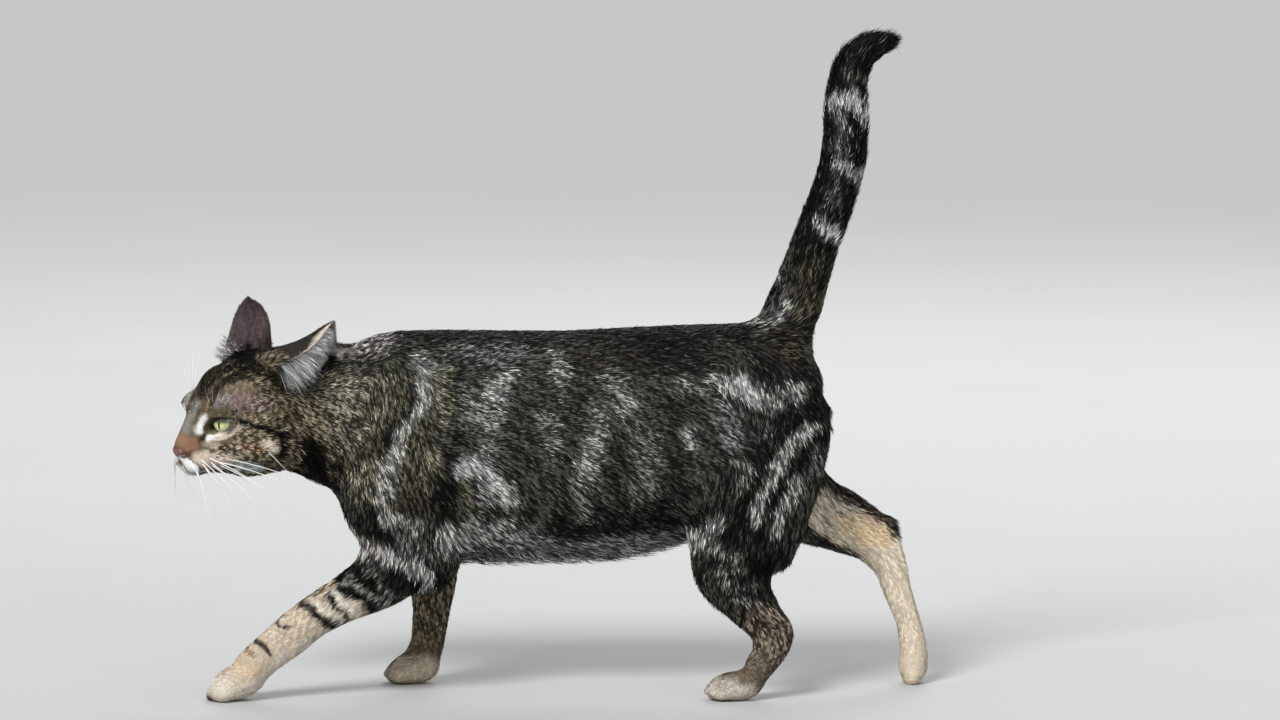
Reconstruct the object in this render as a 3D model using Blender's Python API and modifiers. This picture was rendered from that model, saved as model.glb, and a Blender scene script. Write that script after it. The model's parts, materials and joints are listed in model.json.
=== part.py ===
"""A walking tabby cat, life size, as a still museum model.

The cat walks towards -X with its left side towards -Y. +Z is up, and the four
paws stand on small flats at z = 0. The body is moulded as one closed form out to
the tips of the coat, then parted by thin cuts into the pieces a person would
name. Rows of sizes are in millimetres; MM turns them into metres.
"""

import math

import bmesh
import bpy
import numpy as np
from mathutils import Matrix, Vector

CAT = "walking_tabby_cat"
WORKSHOP = "cutters_and_guides"
MM = 0.001

# How finely the body is moulded, and how its creases are filled and its ridges worn.
CLAY_VOXEL = 3.0 * MM
CLAY_PASSES = 26
CREASE_FILL = 0.62
RIDGE_WEAR = 0.10

# The body behind the head is softened further, fading in between these two x.
BODY_PASSES = 40
BODY_FILL = 0.85
BODY_EDGE = (-206.0, -176.0)

# How far the mouldings are thinned: for the head and paws, and for the rest.
FINE_FACES = 6900
COARSE_FACES = 3350

# Thin cuts between the named pieces, and the room round each set-in piece.
CUT = 0.3 * MM
SEAT = 0.3 * MM

# The head: where its middle lies between the eyes, and how it is held.
HEAD_PLACE = Vector((-261.0, -26.0, 213.0)) * MM
HEAD_YAW = math.radians(34.0)
HEAD_ROLL = math.radians(-10.0)
HEAD_PITCH = math.radians(10.0)

# Eyes, in the head's own axes: forward, left, up. An eye looks along its axis, and its
# opening slants up towards the ear.
EYE_RADIUS = 10.6
EYE_CENTRE = (-5.0, 17.5, 4.0)
EYE_TURN = math.radians(24.0)
EYE_SLANT = math.radians(20.0)
EYE_OPENING = (10.0, 10.2, 7.2)

# Ears, in the head's own axes. The left one is swept back, the right one stands up, and both
# are turned sideways. Half is half the ear's greatest width, cup the depth of its shell, curl
# how far its tip leans back, taper how fast its front edge narrows, tuck how far its foot turns
# in to the head, and the bowl is the hollow that the opening leads down to.
EAR_SUNK = 0.16
EAR_FOOT = 0.22
EAR_SWEEP = -7.5
EAR_WRAP = (96.0, 50.0)
EAR_WALL = 2.4
EAR_BOWL = {"up": 13.0, "in": 9.0, "half": (27.0, 15.0, 14.0)}
EAR_ROWS = 8
EAR_COLUMNS = 6
EARS = {
    "ear_left": {
        "side": 1,
        "root": (-52.7, 41.4, 29.8),
        "length": 55.6,
        "axis": (-0.816, 0.096, 0.570),
        "opening": (-0.014, 0.948, -0.318),
        "half": 23.0,
        "cup": 1.78,
        "curl": 9.9,
        "taper": 1.96,
        "tuck": 60.0,
    },
    "ear_right": {
        "side": -1,
        "root": (-53.0, 32.5, 24.5),
        "length": 58.5,
        "axis": (-0.12, -0.09, 0.99),
        "opening": (-0.03, 1.00, 0.09),
        "half": 20.0,
        "cup": 1.00,
        "curl": 5.0,
        "taper": 0.55,
        "tuck": 0.0,
    },
}

# Trunk, from the chest to the rump: x, back, belly, half width, fullness of the lower half.
TRUNK = (
    (-166, 264, 150, 26, 0.00),
    (-152, 274, 128, 38, 0.00),
    (-128, 282, 112, 48, 0.02),
    (-98, 284, 104, 54, 0.06),
    (-54, 284, 102, 59, 0.10),
    (8, 284, 103, 63, 0.12),
    (54, 286, 105, 63, 0.12),
    (98, 288, 116, 59, 0.08),
    (138, 289, 136, 55, 0.02),
    (172, 287, 160, 49, -0.04),
    (198, 274, 184, 38, -0.06),
    (211, 250, 208, 20, 0.00),
)

# Limbs and neck: x, y, z, half thickness fore and aft, half thickness sideways.
NECK = (
    (-118, 0, 206, 66, 46),
    (-152, 0, 213, 60, 41),
    (-180, 0, 218, 56, 36),
    (-206, 0, 220, 49, 32),
)
FORELEG_LEFT = (
    (-118, -36, 190, 34, 20),
    (-126, -41, 150, 32, 21),
    (-116, -45, 116, 30, 20),
    (-128, -46, 96, 28, 19),
    (-156, -46, 79, 21, 17),
    (-180, -46, 65, 18.5, 15),
    (-200, -46, 49, 18, 14),
    (-219, -46, 34, 16, 14.5),
    (-232, -46, 22, 15, 16),
)
FORELEG_RIGHT = (
    (-118, 36, 190, 34, 20),
    (-122, 41, 150, 31, 21),
    (-102, 44, 116, 28, 19),
    (-92, 45, 90, 23, 17),
    (-93, 45, 62, 18, 15),
    (-95, 44, 40, 15.5, 14),
    (-98, 44, 24, 14.5, 15),
)
HINDLEG_LEFT = (
    (178, -28, 228, 44, 25),
    (166, -37, 188, 50, 28),
    (153, -43, 152, 51, 27),
    (146, -46, 120, 46, 24),
    (142, -47, 99, 36, 20),
    (150, -47, 81, 26, 16),
    (162, -46, 64, 20, 14),
    (173, -46, 50, 17, 13),
    (167, -46, 34, 14, 13),
    (156, -46, 22, 13, 15),
)
HINDLEG_RIGHT = (
    (178, 28, 228, 44, 25),
    (172, 36, 190, 48, 27),
    (176, 41, 160, 42, 26),
    (200, 43, 139, 33, 22),
    (228, 44, 126, 27.5, 18),
    (249, 44, 113, 23, 15),
    (262, 44, 95, 17, 13),
    (268, 44, 76, 14, 12),
    (276, 44, 54, 12, 12),
    (281, 44, 34, 12, 14),
    (283, 44, 18, 12, 16),
)
TAIL = (
    (172, 0, 268, 27, 24),
    (184, 0, 291, 25, 23),
    (194, 0, 318, 21.5, 21),
    (203, 0, 346, 20.5, 20),
    (213, 0, 372, 20, 19.5),
    (221, 0, 396, 19.5, 19),
    (226, 0, 420, 19.5, 19),
    (227, 0, 446, 19, 19),
    (228, 0, 468, 17.5, 17.5),
    (233, 0, 486, 16, 16),
    (244, 0, 497, 14, 14),
    (254, 0, 501, 11.5, 11.5),
)

# Full rounded forms: centre, half sizes and turn about Y in degrees.
BODY_FORMS = (
    ((-120, 0, 170), (47, 45, 66), 8),
    ((-114, -27, 228), (36, 18, 44), -14),
    ((-112, -37, 184), (40, 18, 54), -10),
    ((-112, 27, 228), (36, 18, 44), -14),
    ((-108, 37, 184), (40, 18, 54), -14),
    ((-92, -44, 106), (24, 17, 27), 20),
    ((-88, 43, 106), (24, 17, 27), 10),
    ((156, -29, 214), (58, 24, 54), 20),
    ((160, 29, 214), (58, 24, 54), 20),
    ((177, -46, 58), (10, 9, 13), -25),
    ((260, 44, 122), (12, 10, 14), 25),
    ((254, 0, 501), (12.5, 11, 11), 0),
)

# Head forms in the head's own axes (forward, left, up): centre, half sizes and turn about
# the side axis in degrees. The second table is made on both sides.
HEAD_MIDDLE_FORMS = (
    ((-44, 0, 9), (42, 40, 40), 0),
    ((-60, 0, -3), (34, 42, 44), 0),
    ((-17, 0, 21), (25, 25, 22), 25),
    ((20, 0, -18), (12, 8, 7.5), 40),
    ((14, 0, -33.5), (13, 13, 8), 8),
    ((-14, 0, -29), (28, 22, 17), 0),
    ((-44, 0, -34), (30, 28, 20), 6),
)
HEAD_PAIRED_FORMS = (
    ((-3, 18, 11), (18, 12.5, 10), 0),
    ((-5, 17.5, 3.5), (14.5, 14, 14.5), 0),
    ((7, 10.5, -7), (12, 8, 10), 30),
    ((-42, 28, -12), (33, 20, 32), 0),
    ((-54, 20, 17), (26, 16, 25), 0),
    ((17, 8.0, -27), (13, 11.5, 10), 12),
    ((-8, 17, -20), (20, 15, 14), 0),
    ((-24, 20, -33), (26, 15, 13), -4),
)
NOSE_BRIDGE = (
    (-4, 0, 15, 13, 14),
    (8, 0, 5, 11, 12),
    (19, 0, -6, 8.5, 9.5),
    (28, 0, -15, 6.5, 7),
)
NOSE_FORM = ((29.5, 0, -17.5), (4.5, 7.5, 5.5), 15)

# Paws: middle of the paw on the floor, heading, length, width, height and pitch of the toes.
PAWS = {
    "forepaw_left": {"at": (-239, -46, 14), "half": (23, 18.5, 14.5), "pitch": 16, "toe": 8.4},
    "forepaw_right": {"at": (-106, 44, 12), "half": (22, 18, 14), "pitch": 4, "toe": 8.2},
    "hindpaw_left": {"at": (143, -46, 11), "half": (23, 17, 13), "pitch": 2, "toe": 7.8},
    "hindpaw_right": {"at": (281, 44, 13), "half": (12, 16.5, 14), "pitch": 62, "toe": 7.2},
}
TOE_SPREAD = (-0.78, -0.28, 0.28, 0.78)
TOE_REACH = (0.52, 0.78, 0.78, 0.52)

# Thin cuts: middle, half reach sideways and along, lean of its facing from +X up to +Z, and
# its turn about Z, in degrees.
CUTS = (
    {"at": (-203, 0, 214), "half": (60, 88), "lean": 0, "turn": 20},
    {"at": (-151, 0, 214), "half": (90, 84), "lean": -11.5, "turn": 0},
    {"at": (-50, 0, 195), "half": (100, 112), "lean": 0, "turn": 0},
    {"at": (96, 0, 200), "half": (100, 104), "lean": 0, "turn": 0},
    {"at": (186, 0, 294), "half": (40, 34), "lean": 72, "turn": 0},
    {"at": (211, 0, 367), "half": (40, 34), "lean": 69, "turn": 0},
    {"at": (227, 0, 444), "half": (40, 34), "lean": 90, "turn": 0},
    {"at": (-120, -46, 92), "half": (31, 62), "lean": 90, "turn": 0},
    {"at": (-92, 44, 92), "half": (31, 42), "lean": 90, "turn": 0},
    {"at": (-221, -46, 34), "half": (30, 28), "lean": 40, "turn": 0},
    {"at": (-97, 44, 30), "half": (30, 30), "lean": 90, "turn": 0},
    {"at": (155, -47, 126), "half": (36, 62), "lean": 110, "turn": 0},
    {"at": (196, 42, 136), "half": (42, 62), "lean": -25, "turn": 0},
    {"at": (164, -46, 31), "half": (28, 25), "lean": 59, "turn": 0},
    {"at": (281, 44, 31), "half": (28, 26), "lean": 97, "turn": 0},
)

# Colour and roughness of the coat, and of the pieces that differ from it.
COAT = ((0.075, 0.060, 0.048), 0.85)
FINISHES = {
    "eye_left": ((0.33, 0.36, 0.09), 0.08),
    "eye_right": ((0.33, 0.36, 0.09), 0.08),
    "forepaw_left": ((0.42, 0.30, 0.21), 0.85),
    "forepaw_right": ((0.36, 0.27, 0.20), 0.85),
    "hindpaw_left": ((0.30, 0.24, 0.19), 0.85),
    "hindpaw_right": ((0.42, 0.30, 0.22), 0.85),
}

# Where each piece lies once the cuts are made, and which moulding it is taken from.
FINE_PIECES = {
    "head": (-238, -4, 217),
    "forepaw_left": (-240, -46, 14),
    "forepaw_right": (-106, 44, 13),
    "hindpaw_left": (144, -46, 13),
    "hindpaw_right": (282, 44, 13),
}
COARSE_PIECES = {
    "neck": (-176, 0, 214),
    "chest": (-100, 0, 190),
    "belly": (22, 0, 195),
    "hindquarters": (155, 0, 210),
    "tail_base": (199, 0, 330),
    "tail_middle": (221, 0, 405),
    "tail_tip": (235, 0, 475),
    "foreleg_left": (-180, -46, 65),
    "foreleg_right": (-94, 44, 60),
    "hindleg_left": (158, -46, 75),
    "hindleg_right": (245, 44, 105),
}


def unit(vector):
    """The direction of a row of three numbers."""
    return Vector(vector).normalized()


def head_frame():
    """The head's axes (forward, left, up) and place as a matrix into the model."""
    level = Matrix(((-1, 0, 0), (0, -1, 0), (0, 0, 1))).to_4x4()
    yaw = Matrix.Rotation(HEAD_YAW, 4, "Z")
    roll = Matrix.Rotation(HEAD_ROLL, 4, "X")
    pitch = Matrix.Rotation(HEAD_PITCH, 4, "Y")
    return Matrix.Translation(HEAD_PLACE) @ yaw @ level @ roll @ pitch


def flow(rows, steps):
    """Rows of numbers with steps - 1 new rows eased in between each pair (Catmull-Rom)."""
    rows = np.array(rows, dtype=float)
    padded = np.vstack((2 * rows[0] - rows[1], rows, 2 * rows[-1] - rows[-2]))
    out = []
    for index in range(1, len(padded) - 2):
        before, start, end, after = padded[index - 1 : index + 3]
        for step in range(steps):
            t = step / steps
            bend = (2 * before - 5 * start + 4 * end - after) * t**2
            swing = (3 * start - before - 3 * end + after) * t**3
            out.append(0.5 * (2 * start + (end - before) * t + bend + swing))
    out.append(rows[-1])
    return out


def add_ring(clay, centre, side, rise, sides, fullness=0.0):
    """A ring of the loft; fullness widens its lower half. Returns its edges."""
    before = set(clay.edges)
    made = bmesh.ops.create_circle(clay, cap_ends=False, segments=sides, radius=1.0)
    for vert in made["verts"]:
        across, up = vert.co.x, vert.co.y
        swell = 1.0 - fullness * up
        vert.co = centre + side * (across * swell) + rise * up
    return [edge for edge in clay.edges if edge not in before]


def add_loft(clay, rings):
    """Bridge rings of edges into a closed tube."""
    for first, second in zip(rings, rings[1:]):
        bmesh.ops.bridge_loops(clay, edges=first + second)
    bmesh.ops.edgeloop_fill(clay, edges=rings[0])
    bmesh.ops.edgeloop_fill(clay, edges=rings[-1])


def add_trunk(clay):
    """The trunk, lofted from upright rings along X."""
    rings = []
    for x, back, belly, half_width, fullness in flow(TRUNK, 3):
        centre = Vector((x, 0, (back + belly) / 2)) * MM
        side = Vector((0, half_width * MM, 0))
        rise = Vector((0, 0, (back - belly) / 2 * MM))
        rings.append(add_ring(clay, centre, side, rise, 28, fullness))
    add_loft(clay, rings)


def add_limb(clay, rows, place=None, steps=4, sides=18):
    """A bent tube of oval rings square to its own run."""
    place = place or Matrix.Identity(4)
    rows = flow(rows, steps)
    points = [Vector(row[:3]) * MM for row in rows]
    rings = []
    for index, row in enumerate(rows):
        ahead = points[min(index + 1, len(points) - 1)]
        behind = points[max(index - 1, 0)]
        run = (ahead - behind).normalized()
        side = (Vector((0, 1, 0)) - run * run.y).normalized()
        rise = run.cross(side)
        centre = place @ points[index]
        turned = place.to_3x3()
        rings.append(
            add_ring(clay, centre, turned @ side * row[4] * MM, turned @ rise * row[3] * MM, sides)
        )
    add_loft(clay, rings)


def add_form(clay, centre, half, turn=0.0, place=None, detail=16):
    """A full rounded form: a sphere stretched to its half sizes and turned about Y."""
    place = place or Matrix.Identity(4)
    lean = Matrix.Rotation(math.radians(turn), 4, "Y")
    size = Matrix.Diagonal((*(Vector(half) * MM), 1))
    matrix = place @ Matrix.Translation(Vector(centre) * MM) @ lean @ size
    bmesh.ops.create_uvsphere(clay, u_segments=detail, v_segments=detail - 4, radius=1, matrix=matrix)


def add_head(clay):
    """The head without ears and eyes, in its own axes and then set on the neck."""
    place = head_frame()
    for centre, half, turn in HEAD_MIDDLE_FORMS:
        add_form(clay, centre, half, turn, place)
    for centre, half, turn in HEAD_PAIRED_FORMS:
        for side in (1, -1):
            add_form(clay, (centre[0], side * centre[1], centre[2]), half, turn, place)
    add_limb(clay, NOSE_BRIDGE, place)
    centre, half, turn = NOSE_FORM
    add_form(clay, centre, half, turn, place)


def add_paw(clay, at, half, pitch, toe):
    """A paw with four toes, pitched toes down."""
    place = Matrix.Translation(Vector(at) * MM) @ Matrix.Rotation(math.radians(-pitch), 4, "Y")
    add_form(clay, (0, 0, 0), half, 0, place)
    for spread, reach in zip(TOE_SPREAD, TOE_REACH):
        centre = (-half[0] * reach, half[1] * spread, -half[2] * 0.25)
        add_form(clay, centre, (toe * 1.25, toe * 0.82, toe), 0, place, 12)


def ear_axes(axis, opening):
    """An ear's own axes: along it, across it towards its front edge, and out of its opening."""
    along = unit(axis)
    opening = unit(opening)
    opening = (opening - along * opening.dot(along)).normalized()
    return along, opening.cross(along), opening


def ear_shell(side, root, length, axis, opening, half, cup, curl, taper, tuck):
    """One ear as an open curved sheet, rooted in the head; side is 1 for left, -1 for right."""
    along, across, opening = ear_axes(axis, opening)
    clay = bmesh.new()
    bmesh.ops.create_grid(clay, x_segments=EAR_COLUMNS, y_segments=EAR_ROWS, size=1.0)
    for vert in clay.verts:
        round_the_cup = vert.co.x
        height = (vert.co.y + 1) / 2 * (1 + EAR_SUNK) - EAR_SUNK
        wrap = math.radians(EAR_WRAP[0] + (EAR_WRAP[1] - EAR_WRAP[0]) * height)
        turn = round_the_cup * wrap
        width = half * ear_width(height, round_the_cup, taper)
        sideways = width * math.sin(turn) / math.sin(min(wrap, math.pi / 2))
        bowl = half * ear_width(height, 0, taper) * cup * min(0.8 + 1.3 * max(height, 0), 1)
        depth = (math.cos(turn) - math.cos(wrap)) * bowl + curl * height**2
        depth += tuck * max(EAR_FOOT - height, 0) ** 2 * max(round_the_cup, 0)
        place = along * (length * height) + across * (sideways - EAR_SWEEP * height**2)
        place += Vector(root) - opening * depth
        vert.co = Vector((place.x, place.y * side, place.z)) * MM
    if side < 0:
        bmesh.ops.reverse_faces(clay, faces=clay.faces)
    bmesh.ops.transform(clay, matrix=head_frame(), verts=clay.verts)
    return clay


def ear_width(height, round_the_cup, taper):
    """Share of the ear's greatest half width, from its rear edge (-1) to its front edge (1)."""
    height = max(height, 0)
    root = 0.86 + 0.14 * math.sin(min(height / 0.35, 1) * math.pi / 2)
    blade = max(1 - (max(height - 0.35, 0) / 0.65) ** 2.8, 0.02) ** 0.7
    front = (1 - height) ** taper + 0.12 * blade
    share = (round_the_cup + 1) / 2
    return root * blade * (1 - share) + front * share


def add_ear_bowl(clay, side, root, axis, opening):
    """The hollow that each ear's opening leads down to, as a form to cut away."""
    along, across, opening = ear_axes(axis, opening)
    centre = Vector(root) + along * EAR_BOWL["up"] - opening * EAR_BOWL["in"]
    turned = Matrix((along, across, opening)).transposed().to_4x4()
    mirrored = Matrix.Diagonal((1, side, 1, 1))
    place = head_frame() @ mirrored @ Matrix.Translation(centre * MM) @ turned
    add_form(clay, (0, 0, 0), EAR_BOWL["half"], 0, place)


def new_object(name, mesh, collection):
    """An object of the mesh, linked to the collection."""
    body = bpy.data.objects.new(name, mesh)
    collection.objects.link(body)
    return body


def mesh_from(clay, name):
    """The bmesh as a new mesh; frees the bmesh."""
    mesh = bpy.data.meshes.new(name)
    clay.to_mesh(mesh)
    clay.free()
    return mesh


def applied(body):
    """The object's mesh with its modifiers applied, in place of its own."""
    depsgraph = bpy.context.evaluated_depsgraph_get()
    depsgraph.update()
    mesh = bpy.data.meshes.new_from_object(body.evaluated_get(depsgraph))
    body.modifiers.clear()
    body.data = mesh
    return body


def smooth_clay(body):
    """Fill the creases where forms meet and wear the ridges a little."""
    mesh = body.data
    edges = np.empty(len(mesh.edges) * 2, dtype=np.int64)
    mesh.edges.foreach_get("vertices", edges)
    first, second = edges.reshape(-1, 2).T
    count = len(mesh.vertices)
    points = np.empty(count * 3)
    mesh.vertices.foreach_get("co", points)
    points = points.reshape(-1, 3)
    ties = np.bincount(first, minlength=count) + np.bincount(second, minlength=count)
    for step in range(CLAY_PASSES + BODY_PASSES):
        total = np.zeros_like(points)
        for axis in range(3):
            total[:, axis] = np.bincount(first, points[second, axis], count)
            total[:, axis] += np.bincount(second, points[first, axis], count)
        shift = total / ties[:, None] - points
        mesh.vertices.foreach_set("co", points.ravel())
        mesh.update()
        normals = np.empty(count * 3)
        mesh.vertex_normals.foreach_get("vector", normals)
        normals = normals.reshape(-1, 3)
        outward = np.einsum("ij,ij->i", shift, normals)
        fill = CREASE_FILL if step < CLAY_PASSES else BODY_FILL
        amount = np.where(outward > 0, fill, RIDGE_WEAR)
        if step >= CLAY_PASSES:
            amount *= np.clip((points[:, 0] / MM - BODY_EDGE[0]) / np.ptp(BODY_EDGE), 0, 1)
        points = points + shift * amount[:, None]
    mesh.vertices.foreach_set("co", points.ravel())
    mesh.update()


def mould_body(collection):
    """The whole animal but ears and eyes as one closed, softly blended form."""
    clay = bmesh.new()
    add_trunk(clay)
    for rows in (NECK, FORELEG_LEFT, FORELEG_RIGHT, HINDLEG_LEFT, HINDLEG_RIGHT, TAIL):
        add_limb(clay, rows)
    for centre, half, turn in BODY_FORMS:
        add_form(clay, centre, half, turn)
    for paw in PAWS.values():
        add_paw(clay, **paw)
    add_head(clay)
    bmesh.ops.recalc_face_normals(clay, faces=clay.faces)
    body = new_object("clay", mesh_from(clay, "clay"), collection)
    remesh = body.modifiers.new("Blend", "REMESH")
    remesh.mode = "VOXEL"
    remesh.voxel_size = CLAY_VOXEL
    applied(body)
    smooth_clay(body)
    return body


def stand_on_floor(body):
    """Flatten the paws where they meet the floor."""
    clay = bmesh.new()
    clay.from_mesh(body.data)
    geometry = clay.verts[:] + clay.edges[:] + clay.faces[:]
    cut = bmesh.ops.bisect_plane(
        clay, geom=geometry, plane_co=(0, 0, 0), plane_no=(0, 0, 1), clear_inner=True
    )
    rim = [part for part in cut["geom_cut"] if isinstance(part, bmesh.types.BMEdge)]
    bmesh.ops.holes_fill(clay, edges=rim)
    clay.to_mesh(body.data)
    clay.free()


def thinned(body, faces, collection):
    """A copy of the body with about this many triangles."""
    copy = new_object(f"thinned_{faces}", body.data.copy(), collection)
    copy.data.calc_loop_triangles()
    decimate = copy.modifiers.new("Thin", "DECIMATE")
    decimate.ratio = faces / len(copy.data.loop_triangles)
    return applied(copy)


def cutting_slabs(collection):
    """Every thin cut as one guide object."""
    clay = bmesh.new()
    for cut in CUTS:
        across, along = cut["half"]
        matrix = (
            Matrix.Translation(Vector(cut["at"]) * MM)
            @ Matrix.Rotation(math.radians(cut["turn"]), 4, "Z")
            @ Matrix.Rotation(math.radians(-cut["lean"]), 4, "Y")
            @ Matrix.Diagonal((CUT, 2 * across * MM, 2 * along * MM, 1))
        )
        bmesh.ops.create_cube(clay, size=1.0, matrix=matrix)
    return guide("slabs", clay, collection)


def ear_bowls(collection):
    """The hollows under both ears as one guide object."""
    clay = bmesh.new()
    for held in EARS.values():
        add_ear_bowl(clay, held["side"], held["root"], held["axis"], held["opening"])
    bmesh.ops.recalc_face_normals(clay, faces=clay.faces)
    return guide("bowls", clay, collection)


def guide(name, clay, collection):
    """A cutter: kept out of renders and drawn as wire."""
    cutter = new_object(name, mesh_from(clay, name), collection)
    cutter.hide_render = True
    cutter.display_type = "WIRE"
    return cutter


def carve(body, cutter):
    """Take the cutter's shape out of the body."""
    boolean = body.modifiers.new("Carve", "BOOLEAN")
    boolean.operation = "DIFFERENCE"
    boolean.object = cutter
    return applied(body)


def loose_pieces(body):
    """The unconnected pieces of an object's mesh, as lists of face numbers."""
    clay = bmesh.new()
    clay.from_mesh(body.data)
    waiting = set(clay.faces)
    pieces = []
    while waiting:
        reached = [waiting.pop()]
        piece = []
        while reached:
            face = reached.pop()
            piece.append(face.index)
            for edge in face.edges:
                for other in edge.link_faces:
                    if other in waiting:
                        waiting.remove(other)
                        reached.append(other)
        pieces.append(piece)
    clay.free()
    return pieces


def name_pieces(body, places, collection):
    """Turn the pieces nearest to the named places into objects of their own."""
    centres = []
    pieces = loose_pieces(body)
    for piece in pieces:
        corners = np.array([body.data.polygons[index].center for index in piece])
        centres.append((corners.min(axis=0) + corners.max(axis=0)) / 2)
    for name, place in places.items():
        distances = np.linalg.norm(np.array(centres) - np.array(place) * MM, axis=1)
        chosen = set(pieces[int(distances.argmin())])
        clay = bmesh.new()
        clay.from_mesh(body.data)
        clay.faces.ensure_lookup_table()
        others = [face for face in clay.faces if face.index not in chosen]
        bmesh.ops.delete(clay, geom=others, context="FACES")
        bmesh.ops.triangulate(clay, faces=clay.faces)
        new_object(name, mesh_from(clay, name), collection)


def eye_frame(side):
    """An eye's own axes: looking direction, towards its outer corner, and up."""
    turn = Matrix.Rotation(side * EYE_TURN, 4, "Z")
    slant = Matrix.Rotation(side * EYE_SLANT, 4, "X")
    centre = Vector((EYE_CENTRE[0], side * EYE_CENTRE[1], EYE_CENTRE[2])) * MM
    return head_frame() @ Matrix.Translation(centre) @ turn @ slant


def set_in_eyes(head, cat, workshop):
    """Open the sockets in the head and seat an eyeball in each."""
    for name, side in (("eye_left", 1), ("eye_right", -1)):
        place = eye_frame(side)
        socket = bmesh.new()
        add_form(socket, (0, 0, 0), (EYE_RADIUS + SEAT / MM,) * 3, 0, place, 14)
        carve(head, guide(f"{name}_socket", socket, workshop))
        opening = bmesh.new()
        add_form(opening, (EYE_RADIUS, 0, 0), EYE_OPENING, 0, place, 14)
        carve(head, guide(f"{name}_opening", opening, workshop))
        ball = bmesh.new()
        add_form(ball, (0, 0, 0), (EYE_RADIUS,) * 3, 0, place, 14)
        new_object(name, mesh_from(ball, name), cat)


def set_on_ears(body, cat, workshop):
    """Stand each ear on the head, trimmed to its surface."""
    seat = new_object("ear_seat", body.data.copy(), workshop)
    swell = seat.modifiers.new("Swell", "DISPLACE")
    swell.strength = SEAT
    swell.mid_level = 0.0
    applied(seat)
    seat.hide_render = True
    seat.display_type = "WIRE"
    for name, held in EARS.items():
        ear = new_object(name, mesh_from(ear_shell(**held), name), cat)
        wall = ear.modifiers.new("Wall", "SOLIDIFY")
        wall.thickness = EAR_WALL * MM
        wall.offset = 0
        applied(ear)
        carve(ear, seat)
        keep_largest(ear)


def keep_largest(body):
    """Delete all but the largest loose piece of an object."""
    pieces = sorted(loose_pieces(body), key=len)
    clay = bmesh.new()
    clay.from_mesh(body.data)
    spare = {index for piece in pieces[:-1] for index in piece}
    bmesh.ops.delete(clay, geom=[f for f in clay.faces if f.index in spare], context="FACES")
    bmesh.ops.triangulate(clay, faces=clay.faces)
    clay.to_mesh(body.data)
    clay.free()


def finish(body, colour, roughness):
    """Give a piece its material and smooth shading."""
    coat = bpy.data.materials.new(f"{body.name}_finish")
    coat.use_nodes = True
    shader = coat.node_tree.nodes["Principled BSDF"]
    shader.inputs["Base Color"].default_value = (*colour, 1.0)
    shader.inputs["Roughness"].default_value = roughness
    shader.inputs["Metallic"].default_value = 0.0
    body.data.materials.clear()
    body.data.materials.append(coat)
    body.data.shade_smooth()


def centre_over_origin(pieces):
    """Move the pieces sideways so that the middle of their box stands over the origin."""
    corners = np.array([corner for piece in pieces for corner in piece.bound_box])
    middle = (corners.min(axis=0) + corners.max(axis=0)) / 2
    for piece in pieces:
        piece.data.transform(Matrix.Translation((-middle[0], -middle[1], 0)))


def main():
    """Build the cat."""
    for leftover in list(bpy.data.objects):
        bpy.data.objects.remove(leftover, do_unlink=True)
    cat = bpy.data.collections.new(CAT)
    workshop = bpy.data.collections.new(WORKSHOP)
    for collection in (cat, workshop):
        bpy.context.scene.collection.children.link(collection)
    body = mould_body(workshop)
    slabs = cutting_slabs(workshop)
    bowls = ear_bowls(workshop)
    for faces, places in ((FINE_FACES, FINE_PIECES), (COARSE_FACES, COARSE_PIECES)):
        moulding = thinned(body, faces, workshop)
        stand_on_floor(moulding)
        carve(moulding, bowls)
        if places is FINE_PIECES:
            set_on_ears(moulding, cat, workshop)
        carve(moulding, slabs)
        name_pieces(moulding, places, cat)
        bpy.data.objects.remove(moulding, do_unlink=True)
    set_in_eyes(cat.objects["head"], cat, workshop)
    bpy.data.objects.remove(body, do_unlink=True)
    centre_over_origin(cat.objects)
    for piece in cat.objects:
        colour, roughness = FINISHES.get(piece.name, COAT)
        finish(piece, colour, roughness)


if __name__ == "__main__":
    main()
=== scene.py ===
"""The looks of a walking tabby cat, life size, as a still museum model.

One soft skin lies under the whole coat, with lids round the eyes, a leather nose and
whiskers. The coat is many thousand thin tufts joined into a few pieces, each lying the
way the hair grows. Skin and tufts are painted by the same strokes. Sizes in the tables
are millimetres; MM turns them into metres. The cat walks towards -X, its left side
towards -Y.
"""

import json
import logging
import math
from dataclasses import dataclass, field, fields, replace
from enum import Enum
from typing import Any, Callable, Iterable, Optional, Sequence, Union

import bmesh
import bpy
import numpy as np
from mathutils import Matrix, Vector
from mathutils.bvhtree import BVHTree
from mathutils.kdtree import KDTree

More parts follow.
